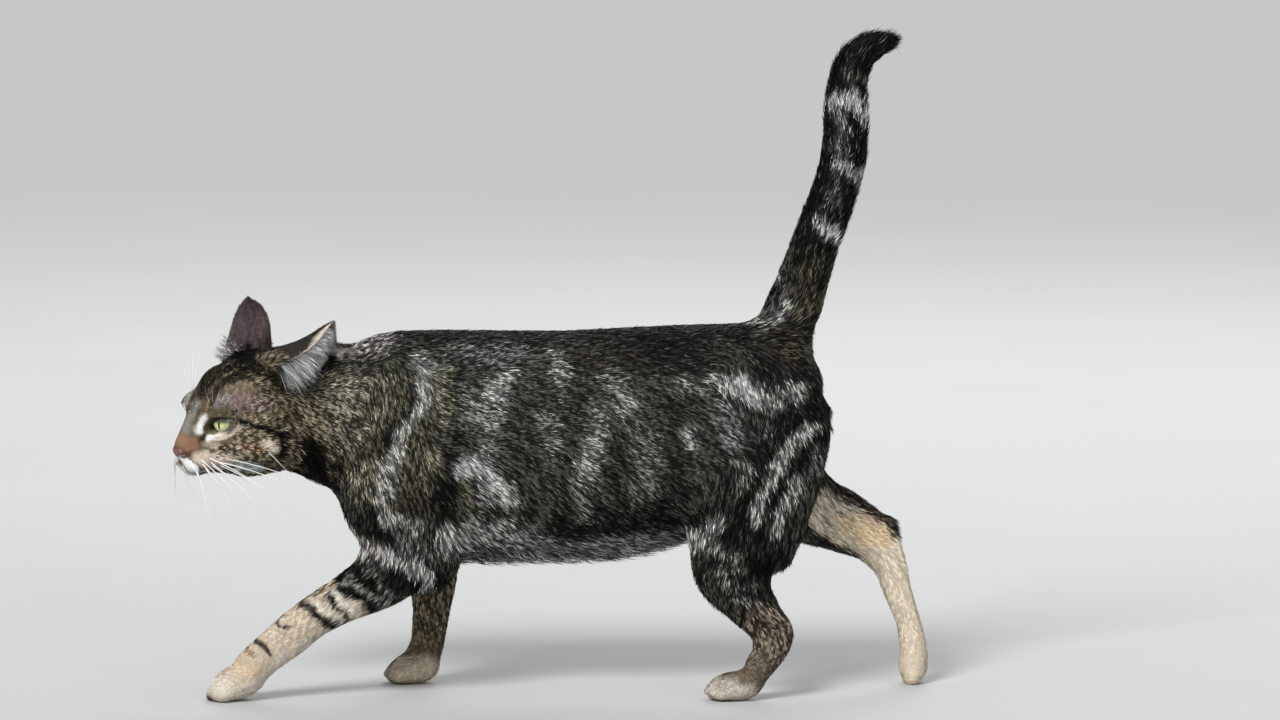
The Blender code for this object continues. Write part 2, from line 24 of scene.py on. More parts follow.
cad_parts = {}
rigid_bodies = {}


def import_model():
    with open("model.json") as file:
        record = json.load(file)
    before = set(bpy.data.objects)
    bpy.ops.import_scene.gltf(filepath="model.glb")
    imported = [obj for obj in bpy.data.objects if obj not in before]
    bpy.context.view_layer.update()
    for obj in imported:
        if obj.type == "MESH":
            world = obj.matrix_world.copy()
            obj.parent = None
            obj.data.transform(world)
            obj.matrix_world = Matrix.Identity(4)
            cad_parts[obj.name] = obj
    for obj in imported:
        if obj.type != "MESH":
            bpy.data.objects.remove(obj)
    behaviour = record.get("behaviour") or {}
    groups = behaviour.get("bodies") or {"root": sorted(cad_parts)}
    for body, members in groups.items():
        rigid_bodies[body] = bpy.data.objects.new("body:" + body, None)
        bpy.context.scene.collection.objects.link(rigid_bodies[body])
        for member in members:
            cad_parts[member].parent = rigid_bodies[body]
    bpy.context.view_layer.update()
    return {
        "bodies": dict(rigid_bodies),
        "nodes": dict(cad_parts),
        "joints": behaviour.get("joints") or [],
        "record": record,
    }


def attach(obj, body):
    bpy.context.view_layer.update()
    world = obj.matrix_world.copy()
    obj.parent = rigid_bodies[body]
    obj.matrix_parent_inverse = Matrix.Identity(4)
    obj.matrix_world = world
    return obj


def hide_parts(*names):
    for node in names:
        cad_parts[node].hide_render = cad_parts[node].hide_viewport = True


LOG = logging.getLogger("tabby")
MM = 0.001
SETTLE = np.array((-2.3, 1.8, 0.0))
COAT_SHARE = 0.9
BODY = "root"
PAINT = "coat_paint"
BAKE_MAP = "OFBake"
FLESH = (
    "head", "ear_left", "ear_right", "neck", "chest", "belly", "hindquarters",
    "tail_base", "tail_middle", "tail_tip", "foreleg_left", "foreleg_right",
    "forepaw_left", "forepaw_right", "hindleg_left", "hindleg_right",
    "hindpaw_left", "hindpaw_right",
)

Row = tuple[float, ...]
Path = tuple[Row, ...]
Array = np.ndarray
Draw = np.random.Generator
Clay = bmesh.types.BMesh
Mesh = bpy.types.Mesh
Piece = bpy.types.Object
Material = bpy.types.Material
Socket = bpy.types.NodeSocket


class Side(Enum):
    """Which half of the cat a stroke is on."""

    BOTH = 0
    LEFT = -1
    RIGHT = 1


class Face(Enum):
    """Whether a stroke is on the outer or the inner face of a limb."""

    ALL = 0
    OUTER = 1
    INNER = -1


class Tone(Enum):
    """The coat's colours, as everyday 0 to 255 values."""

    BLACK = (11, 10, 9)
    SADDLE = (22, 21, 24)
    SOOT = (28, 27, 23)
    SEPIA = (42, 37, 28)
    FLANK = (54, 54, 46)
    OLIVE = (76, 73, 54)
    TICKED = (118, 113, 90)
    SILVER = (148, 148, 144)
    FROST = (180, 181, 180)
    STEEL = (98, 102, 104)
    ASH = (108, 109, 102)
    LILAC = (150, 143, 142)
    CREAM = (220, 208, 190)
    BUFF = (206, 190, 168)
    PALE = (222, 212, 198)
    APRICOT = (232, 202, 164)
    BLUSH = (224, 208, 186)
    TAN = (150, 122, 92)
    BARK = (98, 86, 62)
    SAND = (136, 120, 94)
    COCOA = (92, 58, 48)
    RUST = (166, 124, 98)
    GINGER = (158, 104, 62)
    WHITE = (248, 248, 244)
    MILK = (178, 186, 184)
    MAUVE = (134, 112, 105)
    DUSK = (128, 120, 118)
    BRIDGE = (142, 139, 134)
    MUZZLE = (212, 196, 180)
    UMBER = (70, 54, 40)
    SHADE = (112, 98, 80)
    EAR_BACK = (44, 40, 36)
    EAR_FAR = (78, 68, 68)
    EAR_SKIN = (150, 112, 106)


def linear(tone: Union[Tone, Sequence[float]]) -> Array:
    """A colour of 0 to 255 values as the shader's own linear values."""
    share = np.asarray(tone.value if isinstance(tone, Tone) else tone, dtype=float) / 255
    return np.where(share <= 0.04045, share / 12.92, ((share + 0.055) / 1.055) ** 2.4)


def smooth(value: Array, low: float, high: float) -> Array:
    """Ease from 0 at low to 1 at high."""
    share = np.clip((value - low) / (high - low), 0, 1)
    return share * share * (3 - 2 * share)


def tint(colours: Array, tone: Union[Tone, Sequence[float]], share: Array) -> None:
    """Blend colours towards a tone in place, each by its own share."""
    colours += (linear(tone) - colours) * share[:, None]


def unit(rows: Array) -> Array:
    """Each row scaled to length 1."""
    return rows / np.maximum(np.linalg.norm(rows, axis=-1, keepdims=True), 1e-9)


def ripple(points: Array, pitch: float, seed: int) -> Array:
    """A smooth random field.

    Args:
        points: places in millimetres.
        pitch: about how far apart its hills lie.
        seed: which field.

    Returns:
        A value for each place, mostly from -1 to 1.
    """
    draw = np.random.default_rng(seed)
    total = np.zeros(len(points))
    for _ in range(7):
        wave = unit(draw.normal(size=3)) * 2 * math.pi / (pitch * draw.uniform(1.3, 2.6))
        total += np.sin(points @ wave + draw.uniform(0, 2 * math.pi))
    return total / 2.6


def nearest_on_path(points: Array, path: Path) -> Array:
    """Distance from each point to the nearest place on a path of straight lengths."""
    corners = np.asarray(path, dtype=float)
    if len(corners) == 1:
        return np.linalg.norm(points - corners[0], axis=1)
    best = np.full(len(points), np.inf)
    for start, end in zip(corners, corners[1:]):
        along = end - start
        share = np.clip(((points - start) @ along) / max(along @ along, 1e-9), 0, 1)
        gap = points - start - share[:, None] * along
        best = np.minimum(best, np.einsum("ij,ij->i", gap, gap))
    return np.sqrt(best)


@dataclass(frozen=True)
class HeadPlace:
    """How the head is held; its own axes are forward, left and up."""

    middle: Row = (-261.0, -26.0, 213.0)
    yaw: float = 34.0
    roll: float = -10.0
    pitch: float = 10.0

    def turn(self) -> Array:
        """The head's axes as the columns of a matrix."""
        level = Matrix(((-1, 0, 0), (0, -1, 0), (0, 0, 1)))
        yaw = Matrix.Rotation(math.radians(self.yaw), 3, "Z")
        roll = Matrix.Rotation(math.radians(self.roll), 3, "X")
        pitch = Matrix.Rotation(math.radians(self.pitch), 3, "Y")
        return np.array(yaw @ level @ roll @ pitch)

    def out(self, places: Any) -> Array:
        """Places in the head's axes as places in the model."""
        return np.asarray(places, dtype=float) @ self.turn().T + self.middle + SETTLE

    def back(self, places: Array) -> Array:
        """Places in the model as places in the head's axes."""
        return (places - self.middle - SETTLE) @ self.turn()


HEAD = HeadPlace()


@dataclass(frozen=True)
class EarPlace:
    """One ear, in the head's axes; side is 1 for the left and -1 for the right."""

    side: int
    root: Row
    length: float
    axis: Row
    opening: Row

    def axes(self) -> Array:
        """Rows along the ear, across it to its front edge, and out of its opening, in the model."""
        mirror = np.array((1, self.side, 1))
        along = unit(np.asarray(self.axis, dtype=float))
        opening = np.asarray(self.opening, dtype=float)
        opening = unit(opening - along * (opening @ along))
        across = np.cross(opening, along)
        rows = np.array((along, across, opening)) * mirror
        return rows @ HEAD.turn().T

    def origin(self) -> Array:
        """The middle of the ear's root in the model."""
        return HEAD.out(np.asarray(self.root) * (1, self.side, 1))

    def local(self, places: Array) -> Array:
        """Places as distances along, across and out of the ear."""
        return (places - self.origin()) @ self.axes().T


CROWN_HEIGHT = 24.0
EAR_FOOT = 5.0
EAR_CLEAR = 14.0
EARS = {
    "ear_left": EarPlace(
        1, (-52.7, 41.4, 29.8), 55.6, (-0.816, 0.096, 0.570), (-0.014, 0.948, -0.318)
    ),
    "ear_right": EarPlace(-1, (-53, 32.5, 24.5), 58.5, (-0.12, -0.09, 0.99), (-0.03, 1.0, 0.09)),
}


@dataclass(frozen=True)
class Run:
    """A stretch along which the hair lies one way.

    The hair's length, the depth of the coat and the lift of the hair off the skin are
    those near this stretch; girth is how far the skin lies from it.
    """

    start: Union[Row, Array]
    end: Union[Row, Array]
    girth: float
    length: float
    depth: float
    lift: float = 12.0
    lean: Union[Row, Array] = (0.0, 0.0, 0.0)


def limb_runs(rows: Iterable[Row], lengths: Row, depths: Row, lift: float) -> list[Run]:
    """Runs down the middle of a limb.

    Args:
        rows: places and the limb's half thickness, from its root to its end.
        lengths: the hair's length at the root and the end.
        depths: the coat's depth at the root and the end.
        lift: the hair's lift in degrees.

    Returns:
        One run for each pair of rows.
    """
    rows = list(rows)
    made = []
    for index, (first, second) in enumerate(zip(rows, rows[1:])):
        share = index / max(len(rows) - 2, 1)
        length, depth = (start + (end - start) * share for start, end in (lengths, depths))
        made.append(Run(first[:3], second[:3], (first[3] + second[3]) / 2, length, depth, lift))
    return made


TRUNK_RUNS = (
    Run((-150, 0, 250), (-60, 0, 262), 34, 9, 4.2),
    Run((-60, 0, 262), (60, 0, 262), 32, 9.5, 4.2, 8),
    Run((60, 0, 262), (185, 0, 262), 32, 9.5, 4.2, 9),
    Run((-60, 34, 215), (70, 34, 200), 30, 8.5, 4.2, 12, (0, 0, -0.22)),
    Run((-60, -34, 215), (70, -34, 200), 30, 8.5, 4.2, 12, (0, 0, -0.22)),
    Run((-60, 34, 160), (90, 34, 150), 30, 10, 4.8, 14, (0.1, 0, -0.75)),
    Run((-60, -34, 160), (90, -34, 150), 30, 10, 4.8, 14, (0.1, 0, -0.75)),
    Run((-70, 0, 124), (110, 0, 130), 28, 19, 7, 34, (0.1, 0, -1)),
    Run((-150, 0, 190), (-128, 0, 120), 34, 11, 5, 16),
    Run((70, 40, 215), (150, 40, 200), 30, 8.5, 4.4, 12, (0, 0, -0.3)),
    Run((70, -40, 215), (150, -40, 200), 30, 8.5, 4.4, 12, (0, 0, -0.3)),
    Run((196, 0, 250), (206, 0, 190), 22, 12, 5.5, 16, (-0.1, 0, -0.3)),
)
NECK_RUNS = (
    Run((-215, -8, 250), (-150, 0, 258), 24, 8.5, 4.4, 12),
    Run((-212, 24, 225), (-140, 30, 205), 24, 8.5, 4.4, 13, (0, 0, -0.35)),
    Run((-212, -30, 225), (-140, -30, 205), 24, 8.5, 4.4, 13, (0, 0, -0.35)),
    Run((-216, -10, 190), (-160, 0, 165), 28, 11, 5, 20, (0.1, 0, -0.45)),
)
SHOULDER_RUNS = (
    Run((-118, -40, 240), (-124, -42, 150), 26, 8, 4.2, 12, (0.35, 0, 0)),
    Run((-118, 40, 240), (-120, 42, 150), 26, 8, 4.2, 12, (0.35, 0, 0)),
)
THIGH_RUNS = (
    Run((160, -36, 235), (158, -42, 150), 34, 9.5, 4.4, 13, (0.25, 0, 0)),
    Run((165, 36, 235), (178, 42, 160), 34, 9.5, 4.4, 13, (0.25, 0, 0)),
)
FORELEG_LEFT = (
    (-126, -41, 150, 28), (-116, -45, 116, 26), (-128, -46, 96, 24), (-156, -46, 79, 19),
    (-180, -46, 65, 17), (-200, -46, 49, 16), (-219, -46, 34, 15),
)
FORELEG_RIGHT = (
    (-122, 41, 150, 28), (-102, 44, 116, 26), (-92, 45, 90, 20), (-93, 45, 62, 17),
    (-95, 44, 40, 15), (-98, 44, 24, 14),
)
HINDLEG_LEFT = (
    (150, -43, 152, 38), (144, -46, 120, 34), (142, -47, 99, 28), (150, -47, 81, 22),
    (162, -46, 64, 17), (173, -46, 50, 15), (167, -46, 34, 14), (156, -46, 22, 14),
)
HINDLEG_RIGHT = (
    (178, 41, 165, 34), (200, 43, 139, 28), (228, 44, 126, 23), (249, 44, 113, 19),
    (262, 44, 95, 15), (268, 44, 76, 13), (276, 44, 54, 12), (281, 44, 34, 13),
    (283, 44, 18, 14),
)
TAIL = (
    (184, 0, 291, 24), (194, 0, 318, 21), (203, 0, 346, 20), (213, 0, 372, 20),
    (221, 0, 396, 19), (226, 0, 420, 19), (227, 0, 446, 19), (228, 0, 468, 17),
    (233, 0, 486, 16), (244, 0, 497, 14), (256, 0, 502, 12),
)
PAW_RUNS = (
    Run((-222, -46, 30), (-262, -46, 8), 16, 3, 1, 12),
    Run((-92, 44, 22), (-130, 44, 8), 16, 3, 1, 12),
    Run((158, -46, 22), (120, -46, 8), 16, 3, 1, 12),
    Run((283, 44, 24), (276, 44, 4), 16, 3, 1, 12),
)
FACE_RUNS = (
    Run((33, 0, -13), (8, 0, 9), 9, 1.5, 0.5, 10),
    Run((8, 0, 10), (-26, 0, 40), 17, 3, 1, 12),
    Run((-26, 0, 40), (-66, 0, 36), 24, 6, 2.4, 12),
    Run((-66, 0, 36), (-104, 0, 34), 26, 10, 4.5, 12),
    Run((12, 13, 9), (-16, 26, 24), 12, 2.6, 0.9, 12),
    Run((-6, 31, 8), (-46, 40, 12), 14, 4.2, 1.6, 12),
    Run((18, 10, -8), (2, 27, -8), 7, 1.9, 0.6, 10),
    Run((29, 6, -22), (8, 19, -29), 9, 2.2, 0.8, 12, (0, 0, -0.25)),
    Run((4, 27, -14), (-42, 45, -16), 15, 5, 1.8, 13),
    Run((-38, 44, -16), (-64, 40, -30), 17, 9, 3.6, 18),
    Run((23, 0, -37), (0, 0, -43), 10, 2.6, 1, 14),
    Run((4, 14, -37), (-38, 26, -42), 12, 5, 2, 14),
    Run((-10, 0, -44), (-60, 0, -48), 22, 9, 4, 16),
)


@dataclass(frozen=True)
class Lay:
    """How the hair lies at a set of places: one row or value for each."""

    way: Array
    length: Array
    depth: Array
    lift: Array


@dataclass
class HairLay:
    """The lie of the whole coat, blended from its runs."""

    runs: list[Run] = field(default_factory=list)

    def __post_init__(self) -> None:
        """Gather the runs of every part of the body."""
        body = [*TRUNK_RUNS, *NECK_RUNS, *SHOULDER_RUNS, *THIGH_RUNS, *PAW_RUNS]
        body += limb_runs(FORELEG_LEFT, (10, 3.2), (4.2, 1.2), 11)
        body += limb_runs(FORELEG_RIGHT, (10, 3.2), (4.2, 1.2), 11)
        body += limb_runs(HINDLEG_LEFT, (12, 3.2), (4.6, 1.2), 12)
        body += limb_runs(HINDLEG_RIGHT, (12, 3.2), (4.6, 1.2), 12)
        body += limb_runs(TAIL, (11, 15), (4.6, 5.5), 20)
        self.runs = [self.settled(run) for run in body]
        for run in FACE_RUNS:
            for side in (1, -1) if run.start[1] or run.end[1] else (1,):
                self.runs.append(self.on_head(run, side))

    @staticmethod
    def settled(run: Run) -> Run:
        """The run moved with the centred model."""
        return replace(run, start=np.asarray(run.start) + SETTLE, end=np.asarray(run.end) + SETTLE)

    @staticmethod
    def on_head(run: Run, side: int) -> Run:
        """A run of the head's tables, in the model, mirrored for side -1."""
        flip = np.array((1, side, 1))
        start, end = (HEAD.out(np.asarray(place) * flip) for place in (run.start, run.end))
        return replace(run, start=start, end=end, lean=(np.asarray(run.lean) * flip) @ HEAD.turn().T)

    def at(self, points: Array) -> Lay:
        """The lie of the hair at places in millimetres."""
        way = np.zeros_like(points)
        sizes = np.zeros((len(points), 3))
        total = np.zeros(len(points))
        for run in self.runs:
            start = np.asarray(run.start)
            along = np.asarray(run.end) - start
            share = np.clip(((points - start) @ along) / (along @ along), 0, 1)
            gap = points - start - share[:, None] * along
            near = np.einsum("ij,ij->i", gap, gap) / run.girth**2
            weight = 1 / (near + 0.08) ** 4
            way += weight[:, None] * unit(unit(along) + np.asarray(run.lean))
            sizes += weight[:, None] * (run.length, run.depth, run.lift)
            total += weight
        sizes /= total[:, None]
        return Lay(unit(way), sizes[:, 0], sizes[:, 1], sizes[:, 2])


@dataclass(frozen=True)
class Stroke:
    """One brush stroke of colour.

    On the body its path is rows of x and z, seen from the side; on the head rows of
    forward, out and up. Half is half its width and soft the width of its edge.
    """

    tone: Tone
    half: float
    path: Path
    soft: float = 5.0
    strength: float = 0.9
    side: Side = Side.BOTH
    face: Face = Face.ALL


def strokes(side: Side, face: Face, *rows: tuple) -> tuple[Stroke, ...]:
    """Strokes of one side and face, from rows of tone, half, path, soft and strength."""
    made = []
    for tone, half, path, *rest in rows:
        soft = rest[0] if rest else 5.0
        strength = rest[1] if len(rest) > 1 else 0.9
        made.append(Stroke(tone, half, path, soft, strength, side, face))
    return tuple(made)


BODY_GROUND = strokes(
    Side.BOTH, Face.ALL,
    (Tone.OLIVE, 46, ((-150, 225), (-120, 190)), 30),
    (Tone.OLIVE, 20, ((-95, 235), (-90, 180)), 20, 0.6),
    (Tone.TICKED, 20, ((-170, 215), (-150, 240)), 20, 0.5),
    (Tone.FLANK, 60, ((-40, 200), (100, 195)), 30, 0.6),
    (Tone.SADDLE, 13, ((-150, 290), (-60, 288), (60, 288), (180, 286)), 14),
    (Tone.SADDLE, 14, ((62, 268), (112, 262)), 14, 0.95),
    (Tone.SEPIA, 12, ((20, 264), (62, 262)), 12, 0.7),
    (Tone.SEPIA, 12, ((118, 262), (160, 256)), 12, 0.6),
    # Painted sheen: a steel-grey band along the top of the black back.
    (Tone.STEEL, 7, ((-72, 268), (-20, 266)), 12, 0.6),
    (Tone.BLACK, 15, ((10, 132), (60, 136), (108, 142)), 16, 0.75),
    (Tone.BLACK, 22, ((172, 262), (196, 232), (200, 205)), 18, 0.85),
    (Tone.SOOT, 34, ((160, 190), (152, 130), (150, 100)), 22, 0.8),
)
SHOULDER_MARKS = strokes(
    Side.BOTH, Face.ALL,
    (Tone.LILAC, 6, ((-162, 271), (-122, 277)), 7, 0.75),
    (Tone.SOOT, 6, ((-148, 256), (-120, 254)), 7, 0.8),
    (Tone.BLACK, 6, ((-172, 262), (-160, 256)), 7, 0.8),
    (Tone.TICKED, 7, ((-156, 246), (-160, 225)), 7),
    (Tone.TICKED, 4, ((-122, 247), (-137, 221), (-152, 202), (-166, 190)), 5, 0.8),
    (Tone.SEPIA, 3.5, ((-133, 236), (-148, 217), (-160, 203), (-170, 194)), 5, 0.85),
    (Tone.SEPIA, 3.5, ((-116, 224), (-130, 202), (-144, 188), (-162, 176)), 5, 0.85),
    (Tone.TICKED, 5, ((-127, 190), (-141, 180), (-158, 168)), 6, 0.7),
    (Tone.TICKED, 7, ((-132, 166), (-160, 158)), 9, 0.5),
    (Tone.BLACK, 4.5, ((-105, 236), (-112, 216), (-125, 202), (-129, 190)), 5, 0.85),
    (Tone.SILVER, 8, ((-102, 262), (-92, 254)), 8, 0.6),
    (Tone.SILVER, 5.5, ((-96, 252), (-97, 232), (-101, 222)), 6, 0.85),
    (Tone.SILVER, 5, ((-101, 222), (-110, 213), (-118, 205), (-121, 190)), 5, 0.95),
    (Tone.SILVER, 6, ((-121, 190), (-126, 174), (-130, 158)), 7, 0.75),
    (Tone.TICKED, 7, ((-82, 250), (-80, 215)), 9, 0.6),
    (Tone.SOOT, 6, ((-92, 203), (-88, 198)), 6, 0.7),
    (Tone.TICKED, 5, ((-91, 191), (-92, 176)), 7, 0.75),
    (Tone.SEPIA, 9, ((-112, 158), (-96, 150)), 12, 0.8),
    (Tone.BLACK, 4.5, ((-73, 262), (-71, 233), (-69, 210), (-76, 194)), 7, 0.85),
    (Tone.BLACK, 8, ((-78, 188), (-79, 170), (-84, 152), (-84, 138)), 8, 0.95),
    (Tone.SOOT, 8, ((-148, 150), (-136, 146)), 8, 0.8),
    (Tone.BLACK, 11, ((-184, 194), (-179, 178), (-172, 162)), 9, 0.97),
)
FLANK_MARKS = strokes(
    Side.BOTH, Face.ALL,
    (Tone.SILVER, 6.7, ((-34, 250), (-42, 238)), 10, 0.85),
    (Tone.SILVER, 10.1, ((-44, 233), (-52, 220)), 15, 0.85),
    (Tone.ASH, 7.8, ((-64, 236), (-62, 214)), 13, 0.6),
    (Tone.ASH, 9, ((-50, 216), (-52, 188)), 13, 0.7),
    (Tone.FROST, 7.8, ((-66, 178), (-52, 176), (-38, 160)), 12, 0.8),
    (Tone.SILVER, 7.8, ((-52, 170), (-48, 156), (-34, 156)), 13, 0.75),
    (Tone.OLIVE, 6, ((-66, 166), (-66, 150)), 6, 0.8),
    (Tone.SILVER, 11, ((-76, 122), (-50, 126), (-28, 122), (-6, 114)), 14, 0.8),
    (Tone.SILVER, 6, ((14, 114), (60, 115), (98, 121)), 10, 0.75),
    (Tone.SEPIA, 6, ((-22, 226), (-18, 200), (-20, 176)), 12, 0.6),
    (Tone.SILVER, 5.6, ((4, 268), (6, 254)), 9, 0.85),
    (Tone.ASH, 5.6, ((6, 248), (8, 236)), 12, 0.6),
    (Tone.ASH, 7.8, ((-4, 216), (2, 196)), 13, 0.65),
    (Tone.SEPIA, 6, ((16, 236), (14, 200), (10, 170)), 10, 0.6),
    (Tone.SILVER, 7.8, ((34, 202), (28, 186), (22, 172)), 12, 0.85),
    (Tone.ASH, 6.7, ((22, 168), (24, 142)), 12, 0.7),
    (Tone.ASH, 10.1, ((46, 246), (56, 228)), 15, 0.7),
    (Tone.SILVER, 5.6, ((55, 236), (57, 228)), 10, 0.8),
    (Tone.ASH, 6.7, ((38, 228), (36, 208)), 12, 0.6),
    (Tone.SEPIA, 7, ((50, 200), (48, 170), (52, 150)), 9, 0.7),
    (Tone.ASH, 9, ((68, 202), (78, 190), (72, 164)), 15, 0.8),
    (Tone.SOOT, 8, ((96, 226), (96, 196), (100, 160)), 12, 0.7),
    (Tone.ASH, 6.7, ((102, 244), (112, 240)), 10, 0.8),
    (Tone.SILVER, 5, ((104, 206), (105, 196)), 9, 0.75),
    (Tone.STEEL, 9, ((130, 226), (138, 204)), 12, 0.65),
)
HIP_MARKS = strokes(
    Side.BOTH, Face.ALL,
    (Tone.SILVER, 6, ((127, 247), (138, 240)), 7, 0.85),
    (Tone.FROST, 7, ((145, 243), (154, 230)), 8, 0.85),
    (Tone.SILVER, 7, ((156, 236), (172, 226)), 8, 0.85),
    (Tone.SILVER, 4, ((166, 226), (163, 208)), 5, 0.8),
    (Tone.SILVER, 6, ((182, 240), (194, 236)), 7, 0.7),
    (Tone.TICKED, 7, ((186, 270), (198, 264)), 7, 0.7),
    (Tone.BLACK, 9, ((202, 232), (204, 216)), 7, 0.95),
    (Tone.BLACK, 9, ((168, 216), (190, 213)), 8, 0.95),
    (Tone.BLACK, 7, ((165, 203), (157, 180), (149, 158), (140, 134)), 6, 0.95),
    (Tone.SILVER, 4.5, ((203, 209), (187, 202), (178, 190), (170, 180)), 5, 0.85),
    (Tone.SILVER, 4.2, ((175, 184), (168, 172), (164, 160), (158, 148), (152, 138))),
    (Tone.BLACK, 4.5, ((192, 186), (176, 166), (166, 148), (157, 130)), 5, 0.95),
    (Tone.STEEL, 4.5, ((206, 192), (206, 174)), 6, 0.7),
    (Tone.SILVER, 4.5, ((192, 170), (182, 160), (177, 148), (172, 134)), 5, 0.85),
    (Tone.ASH, 5, ((141, 182), (152, 178), (143, 164)), 7, 0.8),
    (Tone.SILVER, 4.5, ((127, 140), (114, 129), (104, 121)), 6, 0.85),
)
TAIL_MARKS = strokes(
    Side.BOTH, Face.ALL,
    (Tone.SEPIA, 34, ((185, 290), (215, 350)), 14),
    (Tone.BLACK, 34, ((213, 365), (228, 470)), 14),
    (Tone.BLACK, 34, ((228, 490), (256, 505)), 8, 0.95),
    (Tone.SILVER, 8, ((160, 294), (176, 302)), 9, 0.7),
    (Tone.OLIVE, 8, ((192, 298), (206, 304)), 9, 0.7),
    (Tone.OLIVE, 6, ((192, 322), (204, 338)), 10, 0.5),
    (Tone.SILVER, 4, ((172, 324), (176, 318)), 5, 0.7),
    (Tone.FROST, 4.2, ((200, 366), (214, 359), (226, 351), (224, 341)), 5, 0.85),
    # Painted sheen: a steel-grey strip down the middle of the black tail.
    (Tone.STEEL, 4, ((212, 380), (214, 396)), 8, 0.6),
    (Tone.FROST, 5, ((217, 411), (230, 405), (242, 396), (245, 388))),
    # Painted sheen: the same strip further up the tail.
    (Tone.STEEL, 6, ((218, 424), (220, 448)), 9, 0.8),
    (Tone.FROST, 5.2, ((213, 458), (229, 460), (240, 452), (247, 441)), 5, 0.95),
    (Tone.ASH, 3.5, ((228, 478), (240, 477)), 6, 0.5),
    (Tone.BLACK, 5, ((166, 304), (186, 336), (198, 366), (208, 400), (210, 450)), 5, 0.7),
)
LEFT_FORELEG = strokes(
    Side.LEFT, Face.ALL,
    (Tone.BUFF, 26, ((-168, 66), (-205, 44), (-240, 12)), 10, 0.97),
    (Tone.PALE, 8, ((-170, 52), (-200, 30), (-215, 18)), 8, 0.7),
    (Tone.PALE, 9, ((-262, 12), (-245, 6), (-225, 8)), 10, 0.8),
    (Tone.SOOT, 16, ((-150, 96), (-118, 84)), 9, 0.97),
    (Tone.BLACK, 9, ((-104, 92), (-84, 92)), 8),
    (Tone.BLACK, 8, ((-142, 136), (-124, 122)), 7, 0.95),
    (Tone.SILVER, 6, ((-128, 143), (-104, 136)), 7, 0.85),
    (Tone.STEEL, 7, ((-118, 122), (-98, 112)), 9, 0.5),
    (Tone.CREAM, 4, ((-160, 126), (-157, 110)), 5, 0.8),
    (Tone.LILAC, 4.8, ((-155, 118), (-141, 117), (-127, 113)), 5, 0.92),
    (Tone.SILVER, 4.8, ((-125, 112), (-107, 103), (-92, 92)), 5, 0.95),
    (Tone.SILVER, 4, ((-110, 99), (-94, 86)), 5, 0.6),
)
LEFT_FORELEG_BARS = strokes(
    Side.LEFT, Face.OUTER,
    (Tone.BLACK, 3.2, ((-174, 95), (-160, 104), (-152, 101), (-145, 95), (-137, 86)), 3, 0.95),
    (Tone.ASH, 2.4, ((-164, 93), (-156, 95), (-147, 88), (-137, 79)), 3),
    (Tone.BLACK, 3, ((-168, 87), (-156, 87), (-147, 79), (-137, 70)), 3, 0.95),
    (Tone.PALE, 3.8, ((-172, 84), (-160, 78), (-151, 70), (-149, 58)), 4, 0.95),
    (Tone.BLACK, 2.6, ((-174, 81), (-168, 77), (-162, 69), (-157, 62)), 2.5, 0.95),
    (Tone.PALE, 2.6, ((-182, 78), (-172, 69), (-163, 61)), 3),
    (Tone.TAN, 4.5, ((-182, 88), (-174, 90)), 6, 0.5),
    (Tone.BLACK, 3.3, ((-193, 78), (-187, 76), (-181, 67), (-171, 60), (-161, 57)), 2.5, 0.97),
    (Tone.UMBER, 2, ((-209, 72), (-209, 65), (-205, 59)), 2.5, 0.8),
    (Tone.TAN, 1.6, ((-208, 53), (-206, 51)), 2, 0.6),
    (Tone.SEPIA, 2.2, ((-228, 48), (-222, 43), (-216, 37)), 2.5, 0.95),
    (Tone.TAN, 2, ((-235, 41), (-231, 39)), 2.5, 0.7),
    (Tone.ASH, 4, ((-134, 76), (-120, 68)), 5, 0.7),
    (Tone.ASH, 2.4, ((-132, 90), (-120, 80), (-102, 77)), 4, 0.7),
    (Tone.ASH, 2.2, ((-151, 112), (-143, 102), (-131, 96)), 4, 0.75),
    (Tone.APRICOT, 5, ((-240, 30), (-228, 24)), 8, 0.35),
)
RIGHT_FORELEG = strokes(
    Side.RIGHT, Face.ALL,
    (Tone.BARK, 26, ((-100, 84), (-98, 40)), 10, 0.95),
    (Tone.BUFF, 15, ((-98, 8), (-118, 4)), 12, 0.8),
    (Tone.SOOT, 15, ((-120, 112), (-90, 104)), 9),
    (Tone.CREAM, 4.6, ((-138, 110), (-120, 104), (-96, 98)), 5, 0.6),
)
RIGHT_FORELEG_BARS = strokes(
    Side.RIGHT, Face.OUTER,
    (Tone.BLACK, 3.2, ((-116, 90), (-100, 84), (-84, 84)), 3),
    (Tone.PALE, 3, ((-116, 81), (-100, 75), (-82, 75)), 3, 0.8),
    (Tone.BLACK, 3.2, ((-116, 71), (-100, 65), (-82, 66)), 3, 0.95),
    (Tone.SEPIA, 2.2, ((-112, 52), (-100, 47)), 3, 0.85),
    (Tone.SEPIA, 2, ((-112, 36), (-102, 33)), 3, 0.7),
)
LEFT_HINDLEG = strokes(
    Side.LEFT, Face.ALL,
    (Tone.SHADE, 22, ((166, 52), (158, 26), (140, 8)), 10),
    (Tone.PALE, 9, ((122, 6), (146, 4)), 16, 0.8),
    (Tone.BLACK, 10, ((156, 108), (172, 98)), 10),
    (Tone.ASH, 2.6, ((120, 119), (131, 113), (142, 114)), 4, 0.8),
    (Tone.ASH, 2.6, ((122, 105), (133, 99), (146, 102)), 4, 0.8),
    (Tone.ASH, 2.4, ((128, 92), (140, 86), (152, 90)), 4, 0.7),
    (Tone.ASH, 2.4, ((138, 78), (150, 74), (160, 78)), 4, 0.7),
    (Tone.ASH, 3, ((172, 102), (180, 92)), 4, 0.6),
    (Tone.BLACK, 3, ((158, 62), (172, 60)), 4, 0.7),
)
